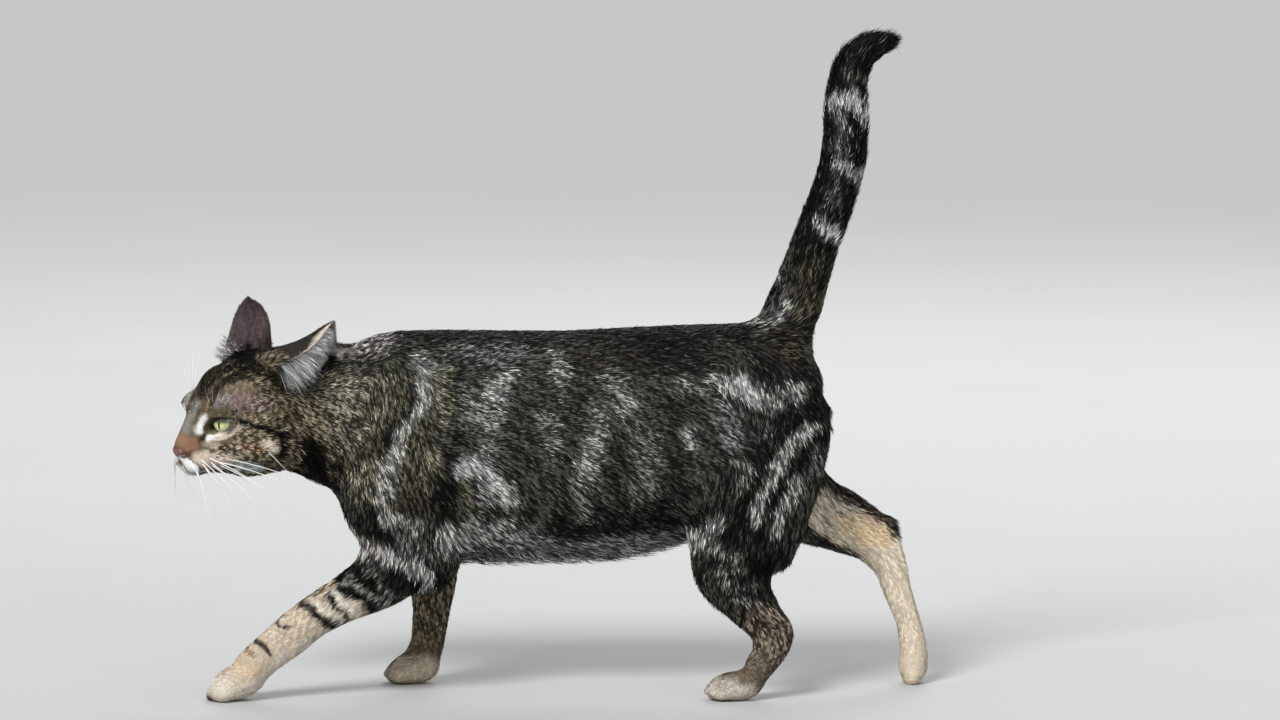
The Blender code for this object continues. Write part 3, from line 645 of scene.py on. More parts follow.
RIGHT_HINDLEG = strokes(
    Side.RIGHT, Face.ALL,
    (Tone.SHADE, 22, ((205, 150), (228, 135)), 12, 0.5),
    (Tone.BLUSH, 24, ((262, 92), (276, 50), (283, 10)), 10, 1),
    (Tone.SEPIA, 7, ((208, 166), (238, 150), (256, 132)), 8, 0.85),
)
RIGHT_HINDLEG_INNER = strokes(
    Side.RIGHT, Face.INNER,
    (Tone.BLUSH, 16, ((212, 132), (240, 118), (262, 96)), 8, 1),
    (Tone.APRICOT, 9, ((232, 124), (254, 116)), 8, 0.95),
    (Tone.RUST, 3.5, ((240, 137), (256, 128)), 6, 0.5),
)
RIGHT_HINDLEG_OUTER = strokes(
    Side.RIGHT, Face.OUTER,
    (Tone.SOOT, 17, ((214, 140), (240, 120), (258, 104)), 9),
    (Tone.ASH, 2.8, ((208, 128), (226, 140)), 4, 0.8),
    (Tone.ASH, 2.8, ((222, 114), (242, 128)), 4, 0.8),
    (Tone.ASH, 2.8, ((240, 100), (258, 112)), 4, 0.8),
    (Tone.BLACK, 2.8, ((264, 78), (280, 84)), 4, 0.8),
    (Tone.BLACK, 2.4, ((272, 58), (284, 62)), 4, 0.6),
)
FACE_GROUND = strokes(
    Side.BOTH, Face.ALL,
    (Tone.BARK, 70, ((-20, 20, 0), (-60, 20, 0)), 10, 1),
    (Tone.SAND, 14, ((2, 26, -10), (-26, 38, -14)), 12, 0.75),
    (Tone.SEPIA, 12, ((2, 3, 31), (-28, 12, 44)), 12, 0.7),
    (Tone.SADDLE, 17, ((-40, 6, 47), (-66, 16, 42)), 12, 0.95),
    (Tone.BLACK, 15, ((-4, 6, 34), (-30, 10, 46)), 12, 0.45),
    (Tone.SAND, 5, ((-8, 20, 30), (-22, 26, 31), (-30, 30, 30)), 8, 0.7),
    (Tone.SEPIA, 10, ((-38, 36, 40), (-58, 42, 38)), 8, 0.92),
    (Tone.BARK, 12, ((-44, 42, 14), (-58, 46, 0)), 12),
    # Painted shadow: black behind the cheek and under the back of the jaw, where the head meets the neck.
    (Tone.BLACK, 12, ((-58, 50, -26), (-66, 48, -44), (-70, 40, -56)), 10, 0.97),
    (Tone.BLACK, 14, ((-62, 20, -52), (-64, 0, -54)), 12, 0.95),
    (Tone.ASH, 12, ((-10, 10, -46), (-30, 10, -50)), 12, 0.8),
)
FACE_MARKS = strokes(
    Side.BOTH, Face.ALL,
    (Tone.BRIDGE, 5, ((22.5, 2, 1), (20, 0, 6), (16, 0, 11), (11, 0, 16)), 8, 0.95),
    (Tone.DUSK, 4.5, ((3, 17.5, 21), (-4, 21.5, 22.5), (-9, 24.5, 21)), 6, 0.85),
    (Tone.MAUVE, 6.5, ((-10, 25.5, 20), (-18.5, 29, 20), (-27, 34, 18)), 7, 0.85),
    (Tone.LILAC, 1.8, ((7, 20, 13.5), (0, 25.5, 12.5), (-5, 28.5, 11)), 3, 0.7),
    (Tone.WHITE, 3.1, ((17, 11, -0.5), (15.2, 12.3, 4.5), (13.2, 15.8, 10.5)), 5, 0.95),
    (Tone.RUST, 5.4, ((28, 0, -8), (26, 4, -10), (22, 8, -11)), 10),
    (Tone.COCOA, 2.6, ((30, 0, -15), (29.5, 5, -17.5), (25, 9.6, -18)), 4),
    (Tone.GINGER, 2, ((24.5, 9.2, -11), (20.8, 11, -8)), 4, 0.35),
    (Tone.UMBER, 1.3, ((16.2, 14, -5), (17, 13.9, -9)), 3, 0.75),
    (Tone.MUZZLE, 3.6, ((13.5, 18.5, -10.5), (9, 22, -12)), 5, 0.6),
    (Tone.WHITE, 2.4, ((12.6, 17.2, -6.2), (8.5, 19.4, -5.8), (5, 21.6, -4.9)), 2, 1),
    (
        Tone.CREAM, 2.9,
        ((5, 22.3, -5.6), (1, 26.5, -3.8), (-2.5, 29, -1.6), (-6.5, 30.3, 1.2), (-9.2, 31, 3.2)), 2, 1,
    ),
    (Tone.SEPIA, 1.5, ((12, 20, 6), (12.9, 16.9, 1.5), (14.7, 15, -2.4), (16, 14.4, -7)), 1.8, 0.92),
    (Tone.BLACK, 1.4, ((5, 4.5, 27), (-2, 6.5, 35), (-12, 7.5, 41.5), (-26, 8, 46)), 2, 0.85),
    (Tone.BARK, 1.5, ((4, 8.5, 27), (-8, 10.5, 37), (-26, 12, 45)), 2, 0.8),
    (Tone.BLACK, 1.6, ((1, 13, 27), (-10, 15.5, 35), (-24, 18, 41)), 2, 0.85),
    (Tone.BLACK, 1.5, ((8.5, 1.8, 21), (5, 1.2, 28), (-4, 1.8, 37)), 2, 0.8),
    (Tone.SAND, 3.6, ((-4, 30, 9.5), (-14, 33, 9), (-26, 40, 6)), 4, 0.7),
    (Tone.SAND, 5, ((-10, 33, -4), (-22, 41, -7), (-34, 45, -12), (-44, 46, -18)), 6, 0.65),
    (
        Tone.BLACK, 2,
        ((-9.4, 30.6, 6), (-13.8, 32.4, 4.4), (-16.8, 34.8, 2.8), (-22.4, 40.3, 0.4)), 1.4, 1,
    ),
    (
        Tone.BLACK, 2.7,
        ((-22.4, 40.3, 0.4), (-30.7, 43.8, -2.8), (-37, 45.2, -5.9), (-43, 46.4, -8.8)), 2.2, 1,
    ),
    (Tone.SEPIA, 1.1, ((6.3, 24.1, -13.9), (0.4, 28.9, -16.4), (-8.2, 32.6, -17.5)), 1.6, 0.75),
    (Tone.TAN, 4.2, ((-10.9, 34.4, -13.5), (-16.7, 39.5, -15.1), (-21.9, 42.7, -16.3)), 4, 0.7),
    (Tone.GINGER, 1.4, ((-12, 35.5, -15), (-20, 41.8, -16.5)), 3, 0.6),
    (Tone.CREAM, 3.8, ((-23, 43.3, -12), (-29.2, 45.7, -15.6), (-32, 46, -20)), 4),
    (Tone.BLACK, 3.4, ((-35, 46.4, -6), (-39.5, 47, -16.6), (-37, 44.4, -27)), 4, 0.92),
    (Tone.SAND, 4, ((-50, 47, -24), (-49, 43, -34)), 5, 0.6),
    (Tone.MUZZLE, 6, ((18.5, 15.5, -21.5), (8, 22.5, -25), (0.8, 28.5, -24))),
    (Tone.WHITE, 4.8, ((31, 5, -22), (28.4, 8.8, -25), (25, 13, -29)), 3, 0.97),
    (Tone.MILK, 3.4, ((24, 12, -33), (10, 17, -34.5), (2, 21, -33)), 3, 0.8),
    (Tone.WHITE, 9, ((22, 0, -36), (8, 0, -42))),
    (Tone.MILK, 4.6, ((-7, 30.5, -30.8), (-14.3, 33.2, -33.5), (-22, 35.1, -35.6))),
    (Tone.ASH, 4, ((-4, 22, -38), (-22, 27, -42)), 5, 0.6),
    # Partly dark skin and partly painted shadow under the nostril wing.
    (Tone.UMBER, 0.9, ((31.5, 3.4, -21), (30, 7.5, -20.5), (25.5, 10.8, -16)), 1.2, 0.8),
    (Tone.UMBER, 1.3, ((29, 6.5, -20.4), (25.5, 10, -19.2)), 1.4),
    (Tone.UMBER, 0.7, ((29.5, 0, -26), (27, 4.5, -29.5), (20, 12.5, -33)), 1.2, 0.6),
)
LEFT_BROW = strokes(
    Side.LEFT, Face.ALL,
    (Tone.UMBER, 5, ((-49.6, 29.1, 36), (-56, 32, 32)), 4, 0.6),
    (Tone.LILAC, 2.4, ((-53.4, 36.3, 25), (-56, 38, 20)), 3, 0.8),
    (Tone.TAN, 1.5, ((5.8, 11.1, 21.8), (8.2, 12.3, 18.6), (10.4, 13.2, 16.1)), 2, 0.85),
    (Tone.SEPIA, 1.4, ((1.3, 13.1, 27), (4, 13.8, 22.8), (7.2, 15.3, 19.1)), 2),
)
RIGHT_BROW = strokes(
    Side.RIGHT, Face.ALL,
    (Tone.SILVER, 3.6, ((11, 15, 15.5), (7, 18.5, 18.5), (1, 22, 20)), 4, 0.85),
    (Tone.SEPIA, 1.4, ((5, 10, 25), (9.5, 11, 18)), 2, 0.8),
)
WHISKER_ROWS = (
    ((25.5, 11.4, -22.5), (19.5, 16.3, -21.5), (13.5, 19.6, -21.5), (8, 23, -21.5)),
    ((24.5, 12.8, -26), (18.5, 17.4, -25.5), (12.5, 19.8, -25.5), (7, 22.5, -25.5)),
    ((22, 14.5, -29.5), (16.5, 17.6, -29.2), (11, 19.4, -29), (6, 21.6, -29)),
)
BODY_STROKES = (
    *BODY_GROUND, *SHOULDER_MARKS, *FLANK_MARKS, *HIP_MARKS, *TAIL_MARKS, *RIGHT_FORELEG,
    *RIGHT_FORELEG_BARS, *LEFT_FORELEG, *LEFT_FORELEG_BARS, *LEFT_HINDLEG, *RIGHT_HINDLEG,
    *RIGHT_HINDLEG_INNER, *RIGHT_HINDLEG_OUTER,
)


@dataclass(frozen=True)
class Markings:
    """The tabby pattern, with a little painted sheen and painted shadow among its strokes, read at any
    place on the skin or the coat.
    """

    wobble: float = 2.4
    wobble_pitch: float = 10.0
    face_wobble: float = 0.7
    face_pitch: float = 5.0
    head_edge: Row = (-78.0, -62.0)
    head_front: float = -170.0
    under_share: float = 0.55
    gap_pitch: float = 5.0
    gap_share: float = 0.24
    whole_below: Row = (-128.0, -108.0)
    plain_share: float = 0.35

    def at(self, points: Array, outward: Array, chance: Optional[Array] = None) -> Array:
        """Linear colours at places in millimetres.

        Args:
            points: the places.
            outward: which way the skin faces there.
            chance: for single hairs, a number from 0 to 1 each, so that marks mix at their edges.

        Returns:
            A colour for each place.
        """
        colour = self.body(points, outward, chance)
        local = HEAD.back(points)
        on_head = smooth(local[:, 0] - 0.25 * local[:, 2], *self.head_edge)
        on_head *= smooth(local[:, 2], *self.head_edge)
        chosen = (on_head > 0) & (points[:, 0] < self.head_front)
        if chosen.any():
            share = on_head[chosen, None]
            own = None if chance is None else chance[chosen]
            colour[chosen] += (self.face(local[chosen], own) - colour[chosen]) * share
        return colour

    def body(self, points: Array, outward: Array, chance: Optional[Array]) -> Array:
        """Linear colours of the body, limbs and tail."""
        colour = np.tile(linear(Tone.FLANK), (len(points), 1))
        under = smooth(-outward[:, 2], 0.25, 0.8) * smooth(-points[:, 2], -150, -115)
        inner = (np.abs(points[:, 1]) < 40) & (points[:, 0] < 150)
        tint(colour, Tone.ASH, self.under_share * under * inner)
        waver = np.column_stack([ripple(points, self.wobble_pitch, seed) for seed in (3, 4)])
        flat = points[:, (0, 2)] + self.wobble * waver
        gaps = np.clip(1.6 * ripple(points, self.gap_pitch, 8), -1, 1)
        broken = 0.76 + self.gap_share * gaps
        broken += (1 - broken) * 0.85 * smooth(-points[:, 2], *self.whole_below)
        lateral = outward[:, 1] * np.sign(points[:, 1])
        for stroke in BODY_STROKES:
            allowed = np.ones(len(points))
            if stroke.side is not Side.BOTH:
                allowed = (points[:, 1] * stroke.side.value > 0).astype(float)
            if stroke.face is not Face.ALL:
                allowed = allowed * smooth(lateral * stroke.face.value, -0.45, 0.15)
            self.lay(colour, flat, stroke, allowed * broken, chance)
        return colour

    def face(self, local: Array, chance: Optional[Array]) -> Array:
        """Linear colours of the head, from places in its own axes."""
        sided = local.copy()
        sided[:, 1] = np.abs(sided[:, 1])
        for axis in range(3):
            sided[:, axis] += self.face_wobble * ripple(local, self.face_pitch, 11 + axis)
        colour = np.tile(linear(Tone.OLIVE), (len(local), 1))
        every = np.ones(len(local))
        for stroke in (*FACE_GROUND, *FACE_MARKS, *LEFT_BROW, *RIGHT_BROW):
            mine = stroke.side is Side.BOTH or local[:, 1] * stroke.side.value < 0
            self.lay(colour, sided, stroke, every * mine, chance)
        for row in WHISKER_ROWS:
            for spot in row:
                self.lay(colour, sided, Stroke(Tone.UMBER, 0.8, (spot,), 0.8, 0.6), every, chance)
        return colour

    def lay(
        self, colour: Array, places: Array, stroke: Stroke, allowed: Array, chance: Optional[Array]
    ) -> None:
        """Lay one stroke over the colours, where it is allowed."""
        corners = np.asarray(stroke.path, dtype=float)
        reach = stroke.half + stroke.soft
        inside = (places > corners.min(axis=0) - reach) & (places < corners.max(axis=0) + reach)
        chosen = np.flatnonzero(inside.all(axis=1) & (allowed > 0))
        if not len(chosen):
            return
        away = nearest_on_path(places[chosen], stroke.path)
        edge = stroke.soft / 2
        cover = 1 - smooth(away, stroke.half - edge, stroke.half + edge)
        cover *= stroke.strength * allowed[chosen]
        if chance is not None:
            sharp = smooth(1.15 * cover - chance[chosen], -0.2, 0.2)
            plain = self.plain_share
            cover = plain * cover + (1 - plain) * sharp * smooth(cover, 0.0, 0.2)
        colour[chosen] += (linear(stroke.tone) - colour[chosen]) * cover[:, None]


def arithmetic(operation: str, swapped: bool = False) -> Callable[..., "Reading"]:
    """A method that adds one Math node to a reading and another value."""

    def method(reading: "Reading", other: Any = 0.0) -> "Reading":
        """Add the node."""
        pair = (other, reading) if swapped else (reading, other)
        return reading.sum(operation, *pair)

    return method


class Reading:
    """A number in a material's nodes; sums on it add Math nodes."""

    def __init__(self, recipe: "Recipe", socket: Socket) -> None:
        """Wrap one output socket."""
        self.recipe = recipe
        self.socket = socket

    def sum(self, operation: str, first: Any, second: Any = 0.0) -> "Reading":
        """One Math node on two values."""
        node = self.recipe.node("ShaderNodeMath", {"operation": operation}, {0: first, 1: second})
        return Reading(self.recipe, node.outputs[0])

    __add__ = arithmetic("ADD")
    __sub__ = arithmetic("SUBTRACT")
    __rsub__ = arithmetic("SUBTRACT", swapped=True)
    __mul__ = arithmetic("MULTIPLY")
    __abs__ = arithmetic("ABSOLUTE")

    def eased(self, low: float, high: float) -> "Reading":
        """0 below low and 1 above high, eased between."""
        sockets = {"Value": self, "From Min": low, "From Max": high}
        node = self.recipe.node("ShaderNodeMapRange", {"interpolation_type": "SMOOTHSTEP"}, sockets)
        return Reading(self.recipe, node.outputs[0])


class Recipe:
    """The nodes of one material."""

    def __init__(self, name: str) -> None:
        """Start an empty material with a Principled shader."""
        self.material = bpy.data.materials.new(name)
        self.material.use_nodes = True
        self.tree = self.material.node_tree
        self.tree.nodes.clear()
        self.shader = self.node("ShaderNodeBsdfPrincipled")
        output = self.node("ShaderNodeOutputMaterial")
        self.tree.links.new(self.shader.outputs[0], output.inputs["Surface"])

    def node(
        self,
        kind: str,
        settings: Optional[dict[str, Any]] = None,
        sockets: Optional[dict[Any, Any]] = None,
    ) -> bpy.types.Node:
        """Add a node.

        Args:
            kind: the node's type.
            settings: its own properties, set first.
            sockets: values or links of its input sockets, by name or place.

        Returns:
            The node.
        """
        made = self.tree.nodes.new(kind)
        for key, value in (settings or {}).items():
            setattr(made, key, value)
        for key, value in (sockets or {}).items():
            self.feed(made.inputs[key], value)
        return made

    def feed(self, socket: Socket, value: Any) -> None:
        """Link a value to a socket, or set it there."""
        if isinstance(value, Reading):
            self.tree.links.new(value.socket, socket)
        elif isinstance(value, Socket):
            self.tree.links.new(value, socket)
        else:
            socket.default_value = value

    def surface(self, colour: Socket, roughness: Reading, **constants: float) -> None:
        """Feed the shader's colour and roughness, and set constants on its own sockets."""
        self.feed(self.shader.inputs["Base Color"], colour)
        self.feed(self.shader.inputs["Roughness"], roughness)
        for key, value in constants.items():
            self.shader.inputs[key.replace("_", " ")].default_value = value

    def painted(self) -> Socket:
        """The colour painted on the piece's points."""
        return self.node("ShaderNodeAttribute", {"attribute_name": PAINT}).outputs["Color"]

    def noise(self, scale: float, detail: float = 2.0, stretch: Row = (1, 1, 1)) -> Reading:
        """Noise over the object's own coordinates."""
        place = self.node("ShaderNodeTexCoord").outputs["Object"]
        mapping = self.node("ShaderNodeMapping", None, {"Vector": place, "Scale": stretch})
        sockets = {"Vector": mapping.outputs[0], "Scale": scale, "Detail": detail}
        return Reading(self, self.node("ShaderNodeTexNoise", None, sockets).outputs[0])

    def mix(self, factor: Any, first: Any, second: Any, blend: str = "MIX") -> Socket:
        """Mix two colours."""
        settings = {"data_type": "RGBA", "blend_type": blend}
        return self.node("ShaderNodeMix", settings, {0: factor, 6: first, 7: second}).outputs[2]

    def bump(self, height: Reading, strength: float, distance: float) -> None:
        """Drive the shader's normal by a height in metres."""
        sockets = {"Height": height, "Strength": strength, "Distance": distance}
        made = self.node("ShaderNodeBump", None, sockets)
        self.feed(self.shader.inputs["Normal"], made.outputs[0])


def rgba(tone: Union[Tone, Sequence[float]]) -> Row:
    """A colour for a socket."""
    return (*(float(share) for share in linear(tone)), 1.0)


@dataclass(frozen=True)
class FurFinish:
    """Fur or the skin under it, coloured by the painted strokes."""

    name: str
    gloss: float = 0.06
    roughness: float = 0.5
    bump: float = 0.0
    grain_scale: float = 1400.0
    dim: float = 0.72
    lit: float = 1.25
    uneven: float = 0.22
    hair_scale: float = 2600.0
    hair_stretch: Row = (0.35, 1.0, 1.0)
    hair_depth: float = 0.0006

    def material(self) -> Material:
        """Build the material."""
        recipe = Recipe(self.name)
        grain = recipe.noise(self.grain_scale, 3.0)
        speckle = recipe.mix(grain, (self.dim,) * 3 + (1,), (self.lit,) * 3 + (1,))
        shade = recipe.mix(1.0, recipe.painted(), speckle, "MULTIPLY")
        rough = grain * self.uneven + (self.roughness - self.uneven / 2)
        recipe.surface(shade, rough, Specular_IOR_Level=self.gloss)
        if self.bump:
            hairs = recipe.noise(self.hair_scale, 2.0, self.hair_stretch)
            recipe.bump(hairs, self.bump, self.hair_depth)
        return recipe.material


@dataclass(frozen=True)
class EyeFinish:
    """A wet yellow-green eye with a slit pupil and a painted shadow of the upper lid; its sizes are
    millimetres.
    """

    name: str = "wet_eye"
    iris: float = 7.5
    slit: float = 0.9
    slit_height: float = 4.6
    middle: Row = (196, 200, 128)
    outside: Row = (128, 144, 92)
    fibre: Row = (214, 218, 168)
    ring_tone: Row = (48, 56, 28)
    white: Row = (34, 24, 20)
    pupil: Row = (6, 7, 6)
    lid_shade: Row = (16, 20, 12)

    def material(self) -> Material:
        """Build the material from the eye's own places, in millimetres."""
        recipe = Recipe(self.name)
        place = recipe.node("ShaderNodeAttribute", {"attribute_name": "eye_place"}).outputs["Vector"]
        axes = recipe.node("ShaderNodeSeparateXYZ", None, {0: place}).outputs
        side, up = Reading(recipe, axes[1]), Reading(recipe, axes[2])
        squared = side * side + up * up
        away = squared.sum("SQRT", squared)
        flat = recipe.node("ShaderNodeCombineXYZ", None, {0: 0.0, 1: side, 2: up}).outputs[0]
        normalise = {"operation": "NORMALIZE"}
        fibres = recipe.node("ShaderNodeVectorMath", normalise, {0: flat}).outputs[0]
        sockets = {"Vector": fibres, "Scale": 9.0, "Detail": 4.0}
        streak = Reading(recipe, recipe.node("ShaderNodeTexNoise", None, sockets).outputs[0])
        colour = recipe.mix(away.eased(1.2, self.iris), rgba(self.middle), rgba(self.outside))
        slit = abs(side) - self.narrowing(up)
        layers = (
            (streak.eased(0.35, 0.7) * 0.5, self.fibre),
            (away.eased(self.iris - 1.5, self.iris - 0.2), self.ring_tone),
            (away.eased(self.iris - 0.1, self.iris + 0.4), self.white),
            (1.0 - slit.eased(-0.12, 0.12), self.pupil),
            # Painted shadow of the upper lid over the top of the iris.
            (up.eased(-0.4, 3.0) * 0.9, self.lid_shade),
        )
        for share, tone in layers:
            colour = recipe.mix(share, colour, rgba(tone))
        wet = {"Coat_Weight": 1.0, "Coat_Roughness": 0.02, "Coat_IOR": 1.38}
        recipe.surface(colour, streak * 0.06 + 0.04, Specular_IOR_Level=0.55, **wet)
        return recipe.material

    def narrowing(self, up: Reading) -> Reading:
        """Half the slit's width at a height."""
        return (1.0 - up * up * (1 / self.slit_height**2)) * self.slit


@dataclass(frozen=True)
class LeatherFinish:
    """Moist nose leather, finely pebbled."""

    name: str = "nose_leather"
    blotch_tone: Row = (96, 58, 52)
    pebble_scale: float = 1500.0
    pebble_depth: float = 0.0003

    def material(self) -> Material:
        """Build the material."""
        recipe = Recipe(self.name)
        blotch = recipe.noise(420.0, 3.0)
        share = blotch.eased(0.35, 0.75) * 0.35
        colour = recipe.mix(share, recipe.painted(), rgba(self.blotch_tone))
        recipe.surface(colour, blotch * 0.25 + 0.3, Specular_IOR_Level=0.45)
        place = recipe.node("ShaderNodeTexCoord").outputs["Object"]
        sockets = {"Scale": self.pebble_scale, "Vector": place}
        cells = recipe.node("ShaderNodeTexVoronoi", None, sockets).outputs["Distance"]
        recipe.bump(Reading(recipe, cells), 0.5, self.pebble_depth)
        return recipe.material


@dataclass(frozen=True)
class WhiskerFinish:
    """Stiff white hair, faintly mottled."""

    name: str = "whisker"
    mottle: Row = (205, 200, 190)

    def material(self) -> Material:
        """Build the material."""
        recipe = Recipe(self.name)
        grain = recipe.noise(700.0, 2.0)
        colour = recipe.mix(grain * 0.3, recipe.painted(), rgba(self.mottle))
        recipe.surface(colour, grain * 0.15 + 0.25, Specular_IOR_Level=0.6)
        return recipe.material


def mesh_arrays(mesh: Mesh) -> tuple[Array, Array, Array]:
    """A mesh's points in millimetres, its point normals and its triangles."""
    count = len(mesh.vertices)
    points = np.empty(count * 3)
    mesh.vertices.foreach_get("co", points)
    normals = np.empty(count * 3)
    mesh.vertex_normals.foreach_get("vector", normals)
    mesh.calc_loop_triangles()
    corners = np.empty(len(mesh.loop_triangles) * 3, dtype=np.int32)
    mesh.loop_triangles.foreach_get("vertices", corners)
    return points.reshape(-1, 3) / MM, normals.reshape(-1, 3), corners.reshape(-1, 3)


def in_scene(name: str, data: Any) -> Piece:
    """A new object of a mesh, lamp or camera, linked to the scene."""
    made = bpy.data.objects.new(name, data)
    bpy.context.scene.collection.objects.link(made)
    return made


def mesh_of(clay: Clay, name: str) -> Mesh:
    """The clay as a smooth mesh; the clay is let go."""
    mesh = bpy.data.meshes.new(name)
    clay.to_mesh(mesh)
    clay.free()
    mesh.shade_smooth()
    return mesh


def move_points(clay: Clay, places: Array) -> None:
    """Move the clay's points to places in millimetres, and turn its faces outwards."""
    for vertex, place in zip(clay.verts, places):
        vertex.co = Vector(place) * MM
    bmesh.ops.recalc_face_normals(clay, faces=clay.faces)


def place_points(mesh: Mesh, points: Array) -> None:
    """Move a mesh's points to places in millimetres."""
    mesh.vertices.foreach_set("co", (points * MM).ravel())
    mesh.update()


def paint(mesh: Mesh, colours: Array) -> None:
    """Store linear colours on a mesh's points."""
    layer = mesh.color_attributes.new(PAINT, "FLOAT_COLOR", "POINT")
    full = np.ones((len(colours), 4), dtype=np.float32)
    full[:, :3] = colours
    layer.data.foreach_set("color", full.ravel())
    mesh.color_attributes.active_color = layer


def new_piece(name: str, mesh: Mesh, material: Material, slot: str) -> Piece:
    """A piece in the scene that rides on the cat's one body."""
    piece = in_scene(name, mesh)
    mesh.materials.clear()
    mesh.materials.append(material)
    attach(piece, BODY)
    return piece


def joined(name: str, points: Array, triangles: Array) -> Mesh:
    """A mesh of many small things, from arrays of points in millimetres and triangles."""
    mesh = bpy.data.meshes.new(name)
    mesh.vertices.add(len(points))
    mesh.vertices.foreach_set("co", (points * MM).astype(np.float32).ravel())
    mesh.loops.add(triangles.size)
    mesh.loops.foreach_set("vertex_index", triangles.astype(np.int32).ravel())
    mesh.polygons.add(len(triangles))
    mesh.polygons.foreach_set("loop_start", np.arange(0, triangles.size, 3, dtype=np.int32))
    mesh.polygons.foreach_set("use_smooth", np.ones(len(triangles), dtype=bool))
    mesh.update(calc_edges=True)
    return mesh


@dataclass(frozen=True)
class EyePlace:
    """One eye: its ball and the almond opening between its lids."""

    side: int
    centre: Row = (-5.0, 17.5, 4.0)
    turn: float = 24.0
    slant: float = 20.0
    ball: float = 10.35
    width: float = 10.2
    upper: float = 5.2
    lower: float = 6.0
    iris_shift: float = 1.1

    def axes(self) -> Array:
        """Rows along the gaze, to the cat's left and up, in the model."""
        turn = Matrix.Rotation(math.radians(self.side * self.turn), 3, "Z")
        slant = Matrix.Rotation(math.radians(self.side * self.slant), 3, "X")
        return (HEAD.turn() @ np.array(turn @ slant)).T

    def origin(self) -> Array:
        """The middle of the ball in the model."""
        return HEAD.out(np.asarray(self.centre) * (1, self.side, 1))

    def local(self, places: Array) -> Array:
        """Places as distances along the gaze, towards the outer corner and up."""
        return (places - self.origin()) @ self.axes().T * (1, self.side, 1)

    def out(self, places: Array) -> Array:
        """The reverse of local."""
        return (places * (1, self.side, 1)) @ self.axes() + self.origin()

    def almond(self, angle: Array, wider: float = 0.0) -> tuple[Array, Array]:
        """Places round the opening, each grown outwards: towards the outer corner, and up."""
        across = np.cos(angle)
        rise = np.where(np.sin(angle) > 0, self.upper, self.lower) + wider
        blunt = 1.7 + 0.12 * wider
        up = np.sign(np.sin(angle)) * rise * (1 - np.abs(across) ** blunt) ** 0.85
        dip = 0.9 * np.clip(-across, 0, 1) ** 2
        return across * (self.width + wider), up - dip

    def within(self, places: Array, wider: float) -> Array:
        """Whether places lie in front of the ball and inside the grown opening."""
        local = self.local(places)
        across = np.clip(local[:, 1] / (self.width + wider), -1, 1)
        angle = np.where(local[:, 2] > 0, np.arccos(across), -np.arccos(across))
        _, edge = self.almond(angle, wider)
        inside = np.abs(local[:, 2]) < np.abs(edge)
        return inside & (np.abs(local[:, 1]) < self.width + wider) & (local[:, 0] > -6)


EYE_PLACES = {"eye_left": EyePlace(1), "eye_right": EyePlace(-1)}


@dataclass(frozen=True)
class Groove:
    """A line worked into the skin of the head; a negative depth raises it."""

    path: Path
    radius: float
    depth: float
    paired: bool = True


GROOVES = (
    Groove(((33, 0, -20), (29.5, 0, -26)), 0.9, 1.0, False),
    Groove(
        ((29.5, 0, -26), (27, 4.5, -29.5), (20, 12.5, -33), (10, 18.5, -33.5), (2, 22, -32)), 1.2, 1.5
    ),
    Groove(((25, 9, -24), (18, 15, -26)), 5.0, -0.9),
    Groove(((13, 12, 10), (5, 20, 14.5), (-5, 28, 12)), 3.0, -0.9),
    Groove(((14, 17, -4), (8, 22, -7), (0, 28, -3)), 1.6, 0.5),
    Groove(((24, 0, -4), (12, 0, 9)), 4.0, 0.4, False),
    Groove(((22, 11, -12), (18, 15, -18)), 2.2, 0.6),
)


